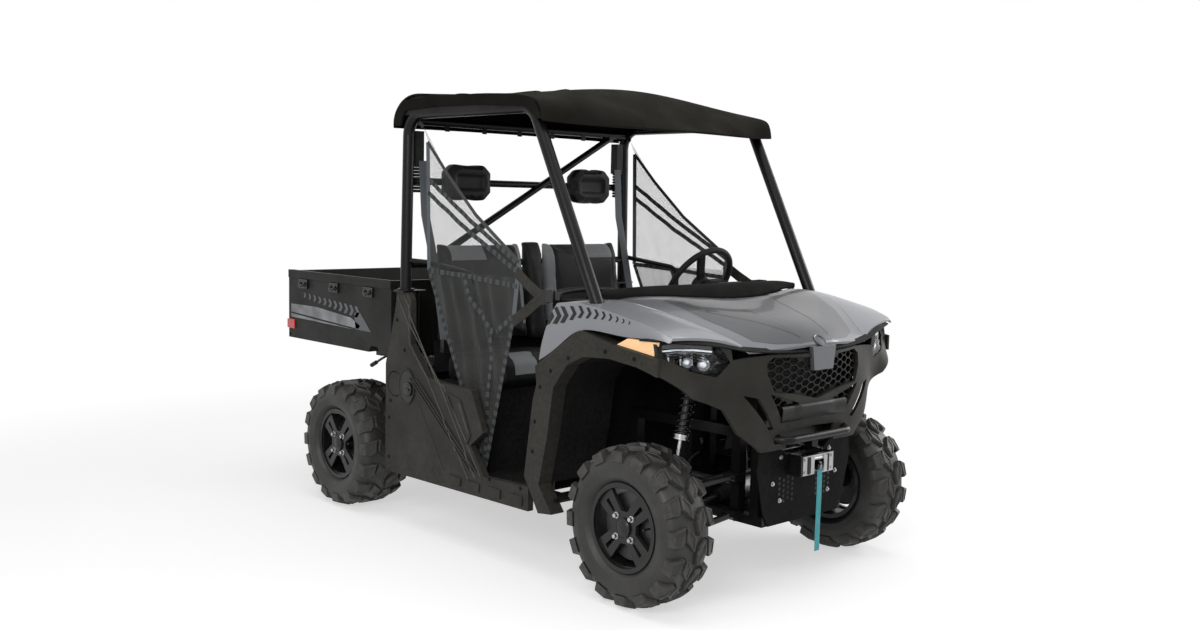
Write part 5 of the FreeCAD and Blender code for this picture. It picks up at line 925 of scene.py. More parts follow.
print("radiator fins", FINS)

# %% [markdown]
# A headlamp is a black bowl with bright reflectors and a light bar behind a clear cover. The
# frame's lens block gives both the cover, which is its front skin, and the bowl, which is the
# rest of its faces seen from inside.

# %% Headlamp covers and bowls
WELD = 1e-5


def faces_of(name, keep):
    """A mould with those faces of a frame piece whose normal passes a test."""
    mould = bmesh.new()
    mould.from_mesh(nodes[name].data)
    bmesh.ops.remove_doubles(mould, verts=mould.verts, dist=WELD)
    bmesh.ops.delete(mould, geom=[face for face in mould.faces if not keep(face)], context="FACES")
    return mould


cover = settle(faces_of("headlamps", lambda face: face.normal.x > 0.3), "headlamp_covers",
               clear_cover, "chassis", "lamp_clear", sharp=50)
bowls = settle(faces_of("headlamps", lambda face: face.normal.x <= 0.3), "headlamp_bowls",
               shock_black, "chassis", "lamp_clear", sharp=50)
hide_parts("headlamps")

# %% Reflectors and light bars
LAMP_CUPS = ((1.300, 0.520, 0.908, 0.021), (1.276, 0.580, 0.916, 0.017))
LIGHT_BAR = ((1.228, 0.658, 0.956), (1.262, 0.620, 0.962), (1.298, 0.560, 0.961),
             (1.322, 0.500, 0.954))
chrome, lights, bezels = bmesh.new(), bmesh.new(), bmesh.new()
for side in (-1, 1):
    outward = Vector((0.86, side * 0.50, 0.06)).normalized()
    for x, y, z, radius in LAMP_CUPS:
        middle = Vector((x, side * y, z))
        cup = [(0, 0.55), (0.006, 0.8), (0.013, 1.08), (0.018, 1.12)]
        turned(chrome, middle - outward * 0.012, outward,
               [(along, radius * share) for along, share in cup], 28, caps=False)
        bulb = [(0, radius * 0.62), (0.010, radius * 0.60), (0.018, radius * 0.36), (0.021, 0.001)]
        turned(lights, middle - outward * 0.010, outward, bulb, 24)
    guide = mirrored(side, LIGHT_BAR)
    ribbon(lights, guide, 0.006, 0.005, outward)
    for row in range(4):
        shift = Vector((-0.003 * row, -side * 0.006 * row, -0.011 - 0.010 * row))
        fin = [place + shift for place in guide]
        ribbon(chrome, fin[row // 2:], 0.006, 0.003, outward + Vector((0, 0, 0.9)))
    for share in (0.15, 0.4, 0.62, 0.85):
        foot = guide[0].lerp(guide[3], share) + Vector((-0.006, 0, -0.010))
        ribbon(chrome, [foot, foot + Vector((0, 0, -0.020)), foot + Vector((0.002, 0, -0.040))],
               0.007, 0.002, outward)
    visor = [place + Vector((-0.002, 0, 0.014)) for place in guide]
    ribbon(bezels, visor, 0.015, 0.004, outward)
settle(chrome, "headlamp_reflectors", bright_steel, "chassis", "lamp_clear")
settle(lights, "headlamp_leds", led_white, "chassis", "lamp_clear")
settle(bezels, "headlamp_bezels", body_grey, "chassis", "lamp_clear")
print("headlamps: covers, bowls, reflectors and light bars")

# %% [markdown]
# The side nets are mesh cloth hung between strap ends, so they wrinkle along the pull of the
# straps. Each is one sheet in the plane of the frame's net. A grid is cut to the net's outline,
# and its points move sideways by a few folds that fade out at the bound edges.

# %% Side nets
NET_OUTLINE = [(-0.270, 1.793), (-0.232, 1.719), (-0.216, 1.162), (0.200, 0.344), (0.281, 0.653),
               (0.377, 1.013), (0.404, 1.229), (0.117, 1.410), (-0.082, 1.576)]
NET_Y, NET_STEP, FOLD = 0.6345, 0.014, 0.0065
DENSE_BELOW, EDGE_CALM, GATHER_PITCH = 1.16, 0.06, 0.085


def gap_to_edges(x, z):
    """How far a place in the net's plane is from its nearest edge."""
    spot = Vector((x, z))
    near = 1.0
    for (x1, z1), (x2, z2) in zip(NET_OUTLINE, NET_OUTLINE[1:] + NET_OUTLINE[:1]):
        start, run = Vector((x1, z1)), Vector((x2 - x1, z2 - z1))
        share = min(1.0, max(0.0, (spot - start).dot(run) / run.length_squared))
        near = min(near, (spot - start - run * share).length)
    return near


def net_fold(x, z):
    """How far the cloth stands out of its plane: gathers run down toward the foot strap."""
    slack = min(1.0, gap_to_edges(x, z) / EDGE_CALM)
    lean = x * 0.9 + (z - 0.35) * 0.28
    waver = 3 * noise(Vector((x * 6, 0, z * 4)))
    gathers = math.sin(2 * math.pi * lean / GATHER_PITCH + waver)
    below = 1.0 if z < DENSE_BELOW else 0.45
    return slack * below * FOLD * (0.6 * gathers + 0.8 * noise(Vector((x * 11, 5, z * 9))))


def net_sheet(name, side):
    """The cloth: sheer above the arm rest, dense below it."""
    mould = bmesh.new()
    mould.faces.new([mould.verts.new((x, 0, z)) for x, z in NET_OUTLINE])
    for axis, low, high in ((Vector((1, 0, 0)), -0.27, 0.40), (Vector((0, 0, 1)), 0.36, 1.79)):
        for k in range(int((high - low) / NET_STEP)):
            bmesh.ops.bisect_plane(mould, geom=[*mould.verts, *mould.edges, *mould.faces],
                                   plane_co=axis * (low + (k + 0.5) * NET_STEP), plane_no=axis)
    for vert in mould.verts:
        vert.co.y = side * (NET_Y + net_fold(vert.co.x, vert.co.z))
    piece = settle(mould, name + "_cloth", net_sheer, "chassis", "net_black", sharp=180)
    piece.data.materials.append(net_dense)
    for face in piece.data.polygons:
        face.material_index = 1 if face.center.z < DENSE_BELOW else 0
    return piece


def net_line(places, side, proud=0.0):
    """A line over the net's cloth through places (x, z), a centimetre at a time."""
    line = []
    for (x1, z1), (x2, z2) in zip(places, places[1:]):
        count = max(2, int(math.hypot(x2 - x1, z2 - z1) / 0.01))
        for k in range(count):
            x, z = x1 + (x2 - x1) * k / count, z1 + (z2 - z1) * k / count
            line.append(Vector((x, side * (NET_Y + proud + net_fold(x, z)), z)))
    return line + [Vector((places[-1][0], side * (NET_Y + proud), places[-1][1]))]


BOUND_EDGES = [NET_OUTLINE[2:4], NET_OUTLINE[3:6],
               [(-0.216, 1.162), (0.080, 1.150), (0.395, 1.130)],
               [(0.043, 1.150), (0.080, 1.064), (0.233, 0.938), (0.218, 0.686), (0.200, 0.400)],
               [(-0.226, 1.500), (0.060, 1.345), (0.392, 1.190)],
               [(-0.226, 1.560), (0.080, 1.385), (0.398, 1.222)], [(0.378, 1.015), (0.266, 0.933)]]
PLAIN_EDGES = [[(-0.232, 1.719), (-0.082, 1.576), (0.117, 1.410), (0.404, 1.229)]]
GREY_EDGES = [[(-0.232, 1.719), (-0.216, 1.162)], [(0.404, 1.229), (0.377, 1.013)]]
for name, side in (("net_right", -1), ("net_left", 1)):
    cloth = net_sheet(name, side)
    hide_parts(name)
    for title, look, edges, wide in (("binding", net_binding, BOUND_EDGES, 0.020),
                                     ("edge_tape", belt_black, PLAIN_EDGES, 0.016),
                                     ("grey_tape", belt_grey, GREY_EDGES, 0.024)):
        mould = bmesh.new()
        for edge_places in edges:
            ribbon(mould, net_line(edge_places, side, 0.0012), wide, 0.0022, (0, 1, 0))
        settle(mould, "%s_%s" % (name, title), look, "chassis", "net_black")

# %% [markdown]
# Each net hangs from the cage by a short strap at its top and is drawn forward by a forked
# webbing bracket with a buckle. A belt reel with a bellows boot stands at each rear post.

# %% Net brackets, belts and boots
TOP_STRAP = ((-0.268, 0.636, 1.785), (-0.290, 0.645, 1.812), (-0.304, 0.655, 1.830))
FORK_FEET = ((0.388, 1.190), (0.372, 0.985))
FORK_HEAD = (0.560, 0.646, 1.098)
BELT = ((-0.318, 0.600, 1.640), (-0.300, 0.598, 1.400), (-0.255, 0.594, 1.250),
        (-0.190, 0.590, 1.000), (-0.150, 0.586, 0.800))
BOOT_RINGS, BOOT_PITCH = 9, 0.014
olive, black, grey, buckles, boots = [bmesh.new() for k in range(5)]
for side in (-1, 1):
    ribbon(black, mirrored(side, TOP_STRAP), 0.018, 0.003, (0, 1, 0))
    for x, z in FORK_FEET:
        prong = [(x, 0.638, z), (0.470, 0.642, 0.5 * z + 0.548), FORK_HEAD]
        ribbon(olive, mirrored(side, prong), 0.045, 0.004, (0, 1, 0))
    ribbon(olive, mirrored(side, [(0.545, 0.646, 1.098), (0.600, 0.648, 1.104)]), 0.060, 0.005,
           (0, 1, 0))
    side_slab(buckles, side, (0.588, 0.636), 0.648, 0.007, (1.082, 1.134))
    side_slab(buckles, side, (0.645, 0.675), 0.648, 0.005, (1.094, 1.126))
    ribbon(grey, mirrored(side, BELT), 0.044, 0.0025, (1, 0, 0.2))
    side_slab(buckles, side, (-0.162, -0.138), 0.586, 0.026, (0.802, 0.858))
    for k in range(BOOT_RINGS):
        turned(boots, (-0.341, side * 0.615, 1.500 + BOOT_PITCH * k), (0, 0, 1),
               [(0, 0.0165), (0.004, 0.0215), (0.008, 0.0215), (0.0125, 0.0165)], 20)
settle(olive, "net_brackets", panel_olive, "chassis", "net_black")
settle(black, "net_top_straps", belt_black, "chassis", "net_black")
settle(grey, "seat_belts", belt_grey, "chassis", "net_black")
settle(buckles, "belt_buckles", shock_black, "chassis", "dash_black", bevel=0.003)
settle(boots, "belt_boots", rubber_black, "chassis", "dash_black")
print("belts and brackets on both sides")

# %% [markdown]
# The seats are foam under grained vinyl. Each pad starts from the frame's block, is remeshed so
# that its corners round off, and is blown up a little by a cloth simulation with pressure, as
# foam pushes its cover out. The sewn channels are pressed in afterwards, because remeshing would
# erase them, and the pale insets are fields of the vinyl's colour.

# %% Seat vinyl
def field(tree, axes, limits):
    """1 inside a box given by limits per axis, 0 outside, with crisp edges."""
    share = None
    for axis, (low, high) in limits.items():
        rise = span(tree, axes.outputs[axis], 0, 1, low - 0.0008, low + 0.0008)
        fall = span(tree, axes.outputs[axis], 1, 0, high - 0.0008, high + 0.0008)
        inside_band = product(tree, rise, fall)
        share = inside_band if share is None else product(tree, share, inside_band)
    return share


BACK_FACE, CUSHION_FRONT = (-0.40, -0.10), (0.12, 0.40)
STRIPE_Z, PATCH_Z, FRONT_Z = (0.90, 1.40), (1.200, 1.40), (0.735, 0.90)
INSETS = [{"Y": band, "Z": level, "X": depth} for band, level, depth in (
    ((-0.112, -0.062), STRIPE_Z, BACK_FACE), ((0.066, 0.116), STRIPE_Z, BACK_FACE),
    ((0.300, 0.495), PATCH_Z, BACK_FACE), ((-0.495, -0.300), PATCH_Z, BACK_FACE),
    ((-0.488, -0.362), FRONT_Z, CUSHION_FRONT), ((0.362, 0.488), FRONT_Z, CUSHION_FRONT))]
seat_vinyl, tree, skin = new_look("seat_vinyl")
axes = put(tree, "SeparateXYZ")
tree.links.new(place_in(tree), axes.inputs[0])
inset = None
for limits in INSETS:
    here = field(tree, axes, limits)
    inset = here if inset is None else product(tree, inset, here, "MAXIMUM")
leather = place_group(tree, pebble_grain, Scale=330.0)
dark = mixed(tree, leather.outputs["Mottle"], (0.010, 0.010, 0.010), (0.018, 0.018, 0.0175))
pale = mixed(tree, leather.outputs["Mottle"], (0.27, 0.285, 0.295), (0.34, 0.355, 0.365))
both = mixed(tree, inset, dark, pale)
worn = place_group(tree, edge_wear, Patch_Scale=30.0).outputs["Mask"]
both = mixed(tree, product(tree, worn, 0.12), both, (0.08, 0.08, 0.08))
give(tree, skin, Base_Color=both, Specular_IOR_Level=0.2,
     Roughness=span(tree, leather.outputs["Mottle"], 0.56, 0.44))
roughen(tree, skin, leather.outputs["Height"], 0.5, 0.0012)

# %% Pad maker
def solids_of(name):
    """Each separate solid of a frame piece as a list of corner points and faces."""
    whole = bmesh.new()
    whole.from_mesh(nodes[name].data)
    bmesh.ops.remove_doubles(whole, verts=whole.verts, dist=WELD)
    left, found = set(whole.faces), []
    while left:
        group, edge = [], [left.pop()]
        while edge:
            face = edge.pop()
            group.append(face)
            for rim in face.edges:
                for other in rim.link_faces:
                    if other in left:
                        left.discard(other)
                        edge.append(other)
        corners = {vert: number for number, vert in enumerate({v for f in group for v in f.verts})}
        found.append(([vert.co.copy() for vert in corners],
                      [[corners[vert] for vert in face.verts] for face in group]))
    whole.free()
    return sorted(found, key=lambda solid: sum(place.y for place in solid[0]) / len(solid[0]))


def settled_mesh(piece):
    """The piece's mesh with all its modifiers applied."""
    bpy.context.view_layer.update()
    shown = piece.evaluated_get(bpy.context.evaluated_depsgraph_get())
    return bpy.data.meshes.new_from_object(shown)


PRESSURE, SWELL_FRAMES = 4, 20
SEAM_WIDE, SIDE_ROOM, TOP_ROOM = 0.006, 0.004, 0.006


def blow_up(piece, cap):
    """Swell a closed mesh like foam under a cover, no point moving further than the cap."""
    cloth = piece.modifiers.new("swell", "CLOTH")
    cloth.settings.use_pressure = True
    cloth.settings.uniform_pressure_force = PRESSURE
    cloth.settings.effector_weights.gravity = 0
    for frame_number in range(1, SWELL_FRAMES + 1):
        bpy.context.scene.frame_set(frame_number)
    swollen = settled_mesh(piece)
    piece.modifiers.remove(cloth)
    bpy.context.scene.frame_set(1)
    for vert, target in zip(piece.data.vertices, swollen.vertices):
        move = target.co - vert.co
        vert.co += move * min(1.0, cap / max(move.length, 1e-9))
    bpy.data.meshes.remove(swollen)


def stuffed(name, solid, shrink, voxel, cap, channels):
    """A pad made from one solid of the frame, first shrunk by what it will swell and ease."""
    corners, faces = solid
    low = Vector([min(place[k] for place in corners) for k in range(3)])
    high = Vector([max(place[k] for place in corners) for k in range(3)])
    middle = (low + high) / 2
    shares = [1 - 2 * shrink / (b - a) for a, b in zip(low, high)]
    mesh = bpy.data.meshes.new(name)
    mesh.from_pydata([[middle[k] + (place[k] - middle[k]) * shares[k] for k in range(3)]
                      for place in corners], [], faces)
    mesh.materials.append(seat_vinyl)
    piece = bpy.data.objects.new(name, mesh)
    bpy.context.scene.collection.objects.link(piece)
    remesh = piece.modifiers.new("remesh", "REMESH")
    remesh.mode, remesh.voxel_size = "VOXEL", voxel
    easing = piece.modifiers.new("ease", "SMOOTH")
    easing.factor, easing.iterations = 0.5, 14
    piece.data = settled_mesh(piece)
    piece.modifiers.clear()
    blow_up(piece, cap)
    for vert in piece.data.vertices:
        press = sum(depth * math.exp(-(gap(vert.co) / SEAM_WIDE) ** 2) for gap, depth in channels)
        vert.co -= vert.normal * press
        lowest = low - Vector((SIDE_ROOM, SIDE_ROOM, 0.0))
        vert.co = Vector([min(max(vert.co[k], lowest[k]), high[k] + TOP_ROOM) for k in range(3)])
    piece.data.shade_smooth()
    softer = piece.modifiers.new("softer", "SUBSURF")
    softer.levels = softer.render_levels = 1
    piece.data = settled_mesh(piece)
    piece.modifiers.clear()
    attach(piece, "chassis")
    return piece


# %% Seat cushions, backs and headrests
def line_at(axis, place_on_it):
    """How far a point is from a straight seam across one axis."""
    return lambda place: abs(place[axis] - place_on_it)


def level_at(z, low, high):
    """The same for a level seam that runs only between two places of y."""
    return lambda place: abs(place.z - z) if low < place.y < high else 1.0


SHALLOW, DEEP = 0.004, 0.005
CUSHION_CHANNELS = [(line_at(0, -0.02), SHALLOW), (line_at(0, 0.175), DEEP)]
BACK_CHANNELS = [[(line_at(1, -0.112), DEEP), (line_at(1, -0.49), SHALLOW),
                  (level_at(1.198, -0.49, -0.30), SHALLOW)],
                 [],
                 [(line_at(1, 0.116), DEEP), (line_at(1, 0.49), SHALLOW),
                  (level_at(1.198, 0.30, 0.49), SHALLOW)]]
sides = ("right", "middle", "left")
for name, solid in zip(sides, solids_of("seat_cushions")):
    piece = stuffed("cushion_" + name, solid, 0.006, 0.009, 0.014, CUSHION_CHANNELS)
    if name == "middle":
        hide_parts("seat_cushions")
for name, solid, channels in zip(sides, solids_of("seat_backs"), BACK_CHANNELS):
    piece = stuffed("back_" + name, solid, 0.006, 0.009, 0.014, channels)
    if name == "middle":
        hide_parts("seat_backs")
for name, solid in zip(("right", "left"), solids_of("headrests")):
    piece = stuffed("headrest_" + name, solid, 0.003, 0.006, 0.006, [])
    if name == "right":
        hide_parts("headrests")
print("pads:", len(sides) * 2 + 2, "with", len(piece.data.polygons), "faces in a headrest")

# %% [markdown]
# Stripes and fields of another colour are thin decals. Each is an outline cut into a fine grid
# and laid on the surface along one direction, so that it follows the panel's curve.

# %% Decals
DECAL_STEP = 0.02


def tree_of(*names):
    """A search tree over frame pieces, to find where a ray meets them."""
    places, faces = [], []
    for name in names:
        mesh, start = nodes[name].data, len(places)
        places += [vert.co.copy() for vert in mesh.vertices]
        faces += [[start + number for number in face.vertices] for face in mesh.polygons]
    return BVHTree.FromPolygons(places, faces)


def lay_decals(name, outlines, right, up, origin, surface, look, body, slot, lift=0.0012):
    """Outlines in a plane (right, up) laid on a surface along the plane's normal."""
    right, up, origin = Vector(right), Vector(up), Vector(origin)
    inward = up.cross(right).normalized()
    mould = bmesh.new()
    for corners in outlines:
        cut = bmesh.new()
        cut.faces.new([cut.verts.new((a, b, 0)) for a, b in corners])
        for k, axis in enumerate((Vector((1, 0, 0)), Vector((0, 1, 0)))):
            low, high = min(c[k] for c in corners), max(c[k] for c in corners)
            for line in range(1, int((high - low) / DECAL_STEP) + 1):
                bmesh.ops.bisect_plane(cut, geom=[*cut.verts, *cut.edges, *cut.faces],
                                       plane_co=axis * (low + line * DECAL_STEP), plane_no=axis)
        spots = {}
        for vert in cut.verts:
            start = origin + right * vert.co.x + up * vert.co.y
            hit, normal = surface.ray_cast(start, inward)[:2]
            if hit is None:
                hit, normal = surface.find_nearest(start)[:2]
            outward = normal if normal.dot(inward) < 0 else -normal
            spots[vert] = mould.verts.new(hit + outward * lift)
        for face in cut.faces:
            mould.faces.new([spots[vert] for vert in face.verts])
        cut.free()
    settle(mould, name, look, body, slot, sharp=180)


def chevron(x, z, long, half, slant):
    """An arrow stripe that points to +X, as an outline in a side view."""
    return [(x, z + half), (x + long, z + half), (x + long + slant, z), (x + long, z - half),
            (x, z - half), (x + slant, z)]


# %% Stripes of the wings and the bed
wing_surface = tree_of("fender_panels")
bed_surface = tree_of("cargo_bed")
WING_CREST = [(0.70, 1.085), (0.84, 1.098), (0.96, 1.086), (1.10, 1.062), (1.235, 1.030)]


def crest_at(x):
    """Height of the wing's upper edge."""
    for (x1, z1), (x2, z2) in zip(WING_CREST, WING_CREST[1:]):
        if x <= x2:
            return z1 + (z2 - z1) * (x - x1) / (x2 - x1)
    return WING_CREST[-1][1]


CHEVRON_SIZES = (1.9, 1.9, 1.8, 1.5, 1.3, 1.15, 1.0, 0.85, 0.7, 0.58, 0.46, 0.36)
CHEVRON_XS = (0.645, 0.688, 0.731, 0.785, 0.832, 0.876, 0.918, 0.958, 0.996, 1.032, 1.065, 1.096)
CHEVRON_HALF, CHEVRON_LONG, CREST_GAP = 0.0175, 0.0135, 0.008
WING_CHEVRONS = []
for size, x in zip(CHEVRON_SIZES, CHEVRON_XS):
    half = CHEVRON_HALF * size
    WING_CHEVRONS.append(chevron(x, crest_at(x) - CREST_GAP - half, CHEVRON_LONG * size, half,
                                 0.8 * half))
BED_CHEVRONS = [chevron(-1.275 + 0.0475 * k, 0.976 - 0.0045 * k, 0.014 + 0.0012 * k,
                        0.012 + 0.0014 * k, 0.010 + 0.0010 * k) for k in range(11)]
BED_WEDGE = [(-0.800, 0.925), (-0.752, 0.932), (-0.655, 0.846), (-0.790, 0.848)]
BED_STREAK = [(-1.400, 0.925), (-1.150, 0.926), (-0.830, 0.900), (-0.750, 0.868), (-0.765, 0.852),
              (-1.050, 0.866), (-1.400, 0.884)]
BED_STREAK_LOW = [(-1.400, 0.876), (-1.060, 0.858), (-0.800, 0.846), (-1.400, 0.858)]
SIDE_DECALS = (
    ("wing_chevrons_", WING_CHEVRONS, wing_surface, decal_black, "chassis", "body_silver"),
    ("bed_chevrons_", BED_CHEVRONS, bed_surface, decal_grey, "cargo_bed", "bed_black"),
    ("bed_wedge_", [BED_WEDGE], bed_surface, decal_grey, "cargo_bed", "bed_black"),
    ("bed_streaks_", [BED_STREAK, BED_STREAK_LOW], bed_surface, decal_white, "cargo_bed",
     "bed_black"))
OUTSIDE_Y = 0.80
for hand, side in (("right", -1), ("left", 1)):
    for title, outlines, *rest in SIDE_DECALS:
        seen_from_side = [[(x * -side, z) for x, z in corners] for corners in outlines]
        lay_decals(title + hand, seen_from_side, (-side, 0, 0), (0, 0, 1),
                   (0, side * OUTSIDE_Y, 0), *rest)
print("side decals:", 2 * len(SIDE_DECALS))

# %% Fields of the bonnet
hood_surface = tree_of("hood")
ABOVE_HOOD = (0, 0, 1.3)
HOOD_MIDDLE = [(0.985, 0.0), (1.000, 0.330), (1.030, 0.455), (1.200, 0.400), (1.350, 0.305),
               (1.392, 0.215), (1.418, 0.110), (1.424, 0.0)]
HOOD_SPEAR = [(1.050, 0.150), (1.062, 0.420), (1.150, 0.360), (1.260, 0.215), (1.400, 0.085),
              (1.290, 0.110), (1.170, 0.125)]
across = [[(x, -y) for x, y in HOOD_MIDDLE[::-1]], HOOD_MIDDLE]
lay_decals("hood_middle", across, (1, 0, 0), (0, 1, 0), ABOVE_HOOD, hood_surface, body_grey,
           "chassis", "body_silver", lift=0.0006)
lay_decals("hood_spears", [HOOD_SPEAR, [(x, -y) for x, y in HOOD_SPEAR]], (1, 0, 0), (0, 1, 0),
           ABOVE_HOOD, hood_surface, body_graphite, "chassis", "body_silver")
print("decals laid on wings, bed and bonnet")

# %% [markdown]
# The nose carries small parts that the frame leaves out: a dark brow over each lamp, which also
# paints the shade line where the bonnet meets the lamp, a bare ring where the bonnet meets the
# grille, a bare raised bar under it, and a shroud that closes the space beside the radiator.

# %% Nose brow and radiator shroud
BROW = ((1.165, 0.698, 0.996), (1.225, 0.693, 1.000), (1.290, 0.640, 0.996), (1.330, 0.540, 0.988),
        (1.352, 0.455, 0.975), (1.372, 0.395, 0.962), (1.395, 0.300, 0.952), (1.415, 0.190, 0.946),
        (1.424, 0.080, 0.943))
# The brow's dark strip is partly painted shade: the shadow line where the bonnet's edge meets the
# lamp.
mould = bmesh.new()
for side in (-1, 1):
    ribbon(mould, mirrored(side, BROW), 0.026, 0.004, (0.45, side * 0.25, 0.85))
settle(mould, "nose_brow_shade_line", dash_black, "chassis", "panel_olive")

SHROUD_Y, SHROUD_LOW, SHROUD_TOP = 0.296, 0.655, 0.930
mould = bmesh.new()
for side in (-1, 1):
    side_slab(mould, side, (1.255, 1.372), SHROUD_Y, 0.002, (SHROUD_LOW, SHROUD_TOP))
    side_slab(mould, side, (1.255, 1.259), SHROUD_Y, 0.016, (SHROUD_LOW, SHROUD_TOP))
slab(mould, (1.255, -SHROUD_Y, SHROUD_TOP), (1.372, SHROUD_Y, SHROUD_TOP + 0.004))
slab(mould, (1.250, -SHROUD_Y, SHROUD_LOW), (1.254, SHROUD_Y, SHROUD_TOP + 0.004))
settle(mould, "radiator_shroud", skid_black, "chassis", "grille_black", bevel=0.001)

# %% Nose ring and bar
mould = bmesh.new()
ring_seat, ring_up = hood_surface.ray_cast(Vector((1.60, 0, 1.160)), Vector((-0.68, 0, -0.73)))[:2]
print("ring sits at", tuple(round(c, 3) for c in ring_seat), tuple(round(c, 2) for c in ring_up))
turned(mould, ring_seat - ring_up * 0.0005, ring_up,
       [(0.000, 0.0310), (0.0030, 0.0305), (0.0042, 0.0285), (0.0030, 0.0255), (0.0012, 0.0245),
        (0.0018, 0.0120), (0.0020, 0.0005)], 40)
settle(mould, "nose_ring", body_graphite, "chassis", "body_silver")

BAR_PROFILE = ((0.676, 0.0), (0.682, 0.006), (0.728, 0.008), (0.736, 0.0))
BAR_STEP, BAR_COLUMNS, BAR_X = 0.02, 21, 1.404
GRILLE_HALF, GRILLE_LOW = 0.1, 0.69
mould = bmesh.new()
plate_face = tree_of("front_fascia")
profile_rows = []
for k in range(BAR_COLUMNS):
    y = k * BAR_STEP - 0.20
    row = []  # beside the grille's foot the upper points take their depth from just below it
    for z, proud in BAR_PROFILE:
        sight = Vector((1.60, y, min(z, GRILLE_LOW) if abs(y) > GRILLE_HALF else z))
        hit = plate_face.ray_cast(sight, Vector((-1, 0, 0)))[0]
        x = hit.x if hit and hit.x > 1.38 else BAR_X
        row.append(Vector((x + proud, y, z)))
    profile_rows.append(row)
skin_rings(mould, profile_rows, closed=False, caps=False)
settle(mould, "nose_bar", grille_black, "chassis", "panel_olive", sharp=50)
print("nose trim laid on")

# %% [markdown]
# The winch's rope leaves between rollers, so that it can pull from the side. The fairlead is a
# bright steel frame with two upright and two level rollers, and its plate is bolted on.

# %% Fairlead
FRONT_LIMIT = 1.4535
rollers, bolts = bmesh.new(), bmesh.new()
for side in (-1, 1):
    turned(rollers, (1.4385, side * 0.040, 0.4700), (0, 0, 1),
           [(0, 0.004), (0, 0.0105), (0.0640, 0.0105), (0.0640, 0.004)], 24)
    turned(rollers, (1.4340, -0.030, 0.502 + side * 0.021), (0, 1, 0),
           [(0, 0.003), (0, 0.0070), (0.060, 0.0070), (0.060, 0.003)], 20)
winch_face = tree_of("winch")
for low_y, high_y, low_z, high_z in ((-0.094, -0.054, 0.466, 0.539), (0.054, 0.094, 0.466, 0.539),
                                     (-0.054, 0.054, 0.528, 0.539), (-0.054, 0.054, 0.466, 0.474)):
    sight = Vector((1.6, (low_y + high_y) / 2, (low_z + high_z) / 2))
    seat = winch_face.ray_cast(sight, Vector((-1, 0, 0)))[0]
    front = min(seat.x + 0.003, FRONT_LIMIT) if seat else 1.440
    slab(rollers, (front - 0.004, low_y, low_z), (front, high_y, high_z))
    print("fairlead plate at", round(front, 4))

# %% Front plate, flanges and hook
PLATE_X, BOLT_SIZE, HOLE_R = 1.3760, 0.008, 0.0065
holes, flanges, hook = [bmesh.new() for k in range(3)]
for side in (-1, 1):
    for x, y, z in ((1.4360, 0.083, 0.478), (1.4360, 0.083, 0.526), (PLATE_X, 0.150, 0.535),
                    (PLATE_X, 0.195, 0.440), (PLATE_X, 0.150, 0.370)):
        bolt(bolts, (x, side * y, z), (1, 0, 0), BOLT_SIZE)
    # The perforations are dark discs, not cut holes: painted shade of the holes' insides.
    for row in range(5):
        for column in range(4):
            y = side * (0.075 + 0.026 * column)
            z = 0.365 + 0.020 * row + 0.010 * (column % 2)
            rod(holes, (PLATE_X + 0.0002, y, z), (PLATE_X + 0.0008, y, z), HOLE_R, sides=6)
    side_slab(flanges, side, (0.480, 0.922), 0.2870, 0.0015, (0.262, 0.378))
settle(flanges, "skid_flanges", skid_black, "chassis", "skid_black", bevel=0.001)
settle(rollers, "fairlead_rollers", bright_steel, "chassis", "winch_steel")
settle(bolts, "front_plate_bolts", bright_steel, "chassis", "winch_steel", bevel=0.0005)
# Dark discs as painted shade of the perforations.
settle(holes, "front_plate_hole_shade", decal_black, "chassis", "skid_black")
hook_angles = [math.radians(-200 + 26 * k) for k in range(12)]
tube(hook, [Vector((1.443 + 0.0085 * math.cos(a), 0, 0.494 + 0.012 * math.sin(a)))
            for a in hook_angles], 0.0034, 10)
settle(hook, "winch_hook", bright_steel, "chassis", "winch_steel")
print("fairlead with 4 rollers")

# %% [markdown]
# Under the arches the axles show: ribbed rubber boots over the joints, a bright alloy housing at
# the differential with its bolts and a blue tag, and brake hoses along the arms.

# %% Axle boots, housing bolts and hoses
FOLDS, FOLD_PITCH, FOLD_R = 6, 0.0105, 0.0375
HOUSING_BOLTS, BOLT_RING = 8, 0.040
HOSE = ((0.262, 0.520), (0.300, 0.505), (0.350, 0.470), (0.420, 0.442), (0.480, 0.430))


def smooth_tube(mould, route, radius, sides):
    """A round bar along a curve through every point of a route."""
    tube(mould, [Vector(place) for place in smooth_line(route)], radius, sides)


boots, bolts, tags, hoses = [bmesh.new() for k in range(4)]
for axle_x in (FRONT_X, REAR_X):
    for side in (-1, 1):
        for k in range(FOLDS):
            radius = FOLD_R - 0.0026 * k
            turned(boots, (axle_x, side * (0.112 + FOLD_PITCH * k), 0.3445 - 0.0012 * k),
                   (0, side, 0), [(0, radius - 0.006), (0.003, radius), (0.007, radius),
                                  (0.0100, radius - 0.006)], 24)
        for angle in circle(HOUSING_BOLTS):
            spot = (axle_x + BOLT_RING * math.cos(angle), side * 0.0965,
                    0.345 + BOLT_RING * math.sin(angle))
            bolt(bolts, spot, (0, side, 0), 0.0065)
        smooth_tube(hoses, [(axle_x - 0.030, side * y, z) for y, z in HOSE], 0.0045, 8)
slab(tags, (FRONT_X + 0.045, -0.099, 0.365), (FRONT_X + 0.066, -0.0975, 0.395))
settle(boots, "axle_boots", rubber_black, "chassis", "shaft_steel", sharp=60)
settle(bolts, "housing_bolts", bright_steel, "chassis", "drive_metal", bevel=0.0004)
settle(hoses, "brake_hoses", rubber_black, "chassis", "shaft_steel", sharp=60)
blue_tag, tree, skin = new_look("blue_tag")
tag_grain = place_group(tree, pebble_grain, Scale=200.0).outputs["Mottle"]
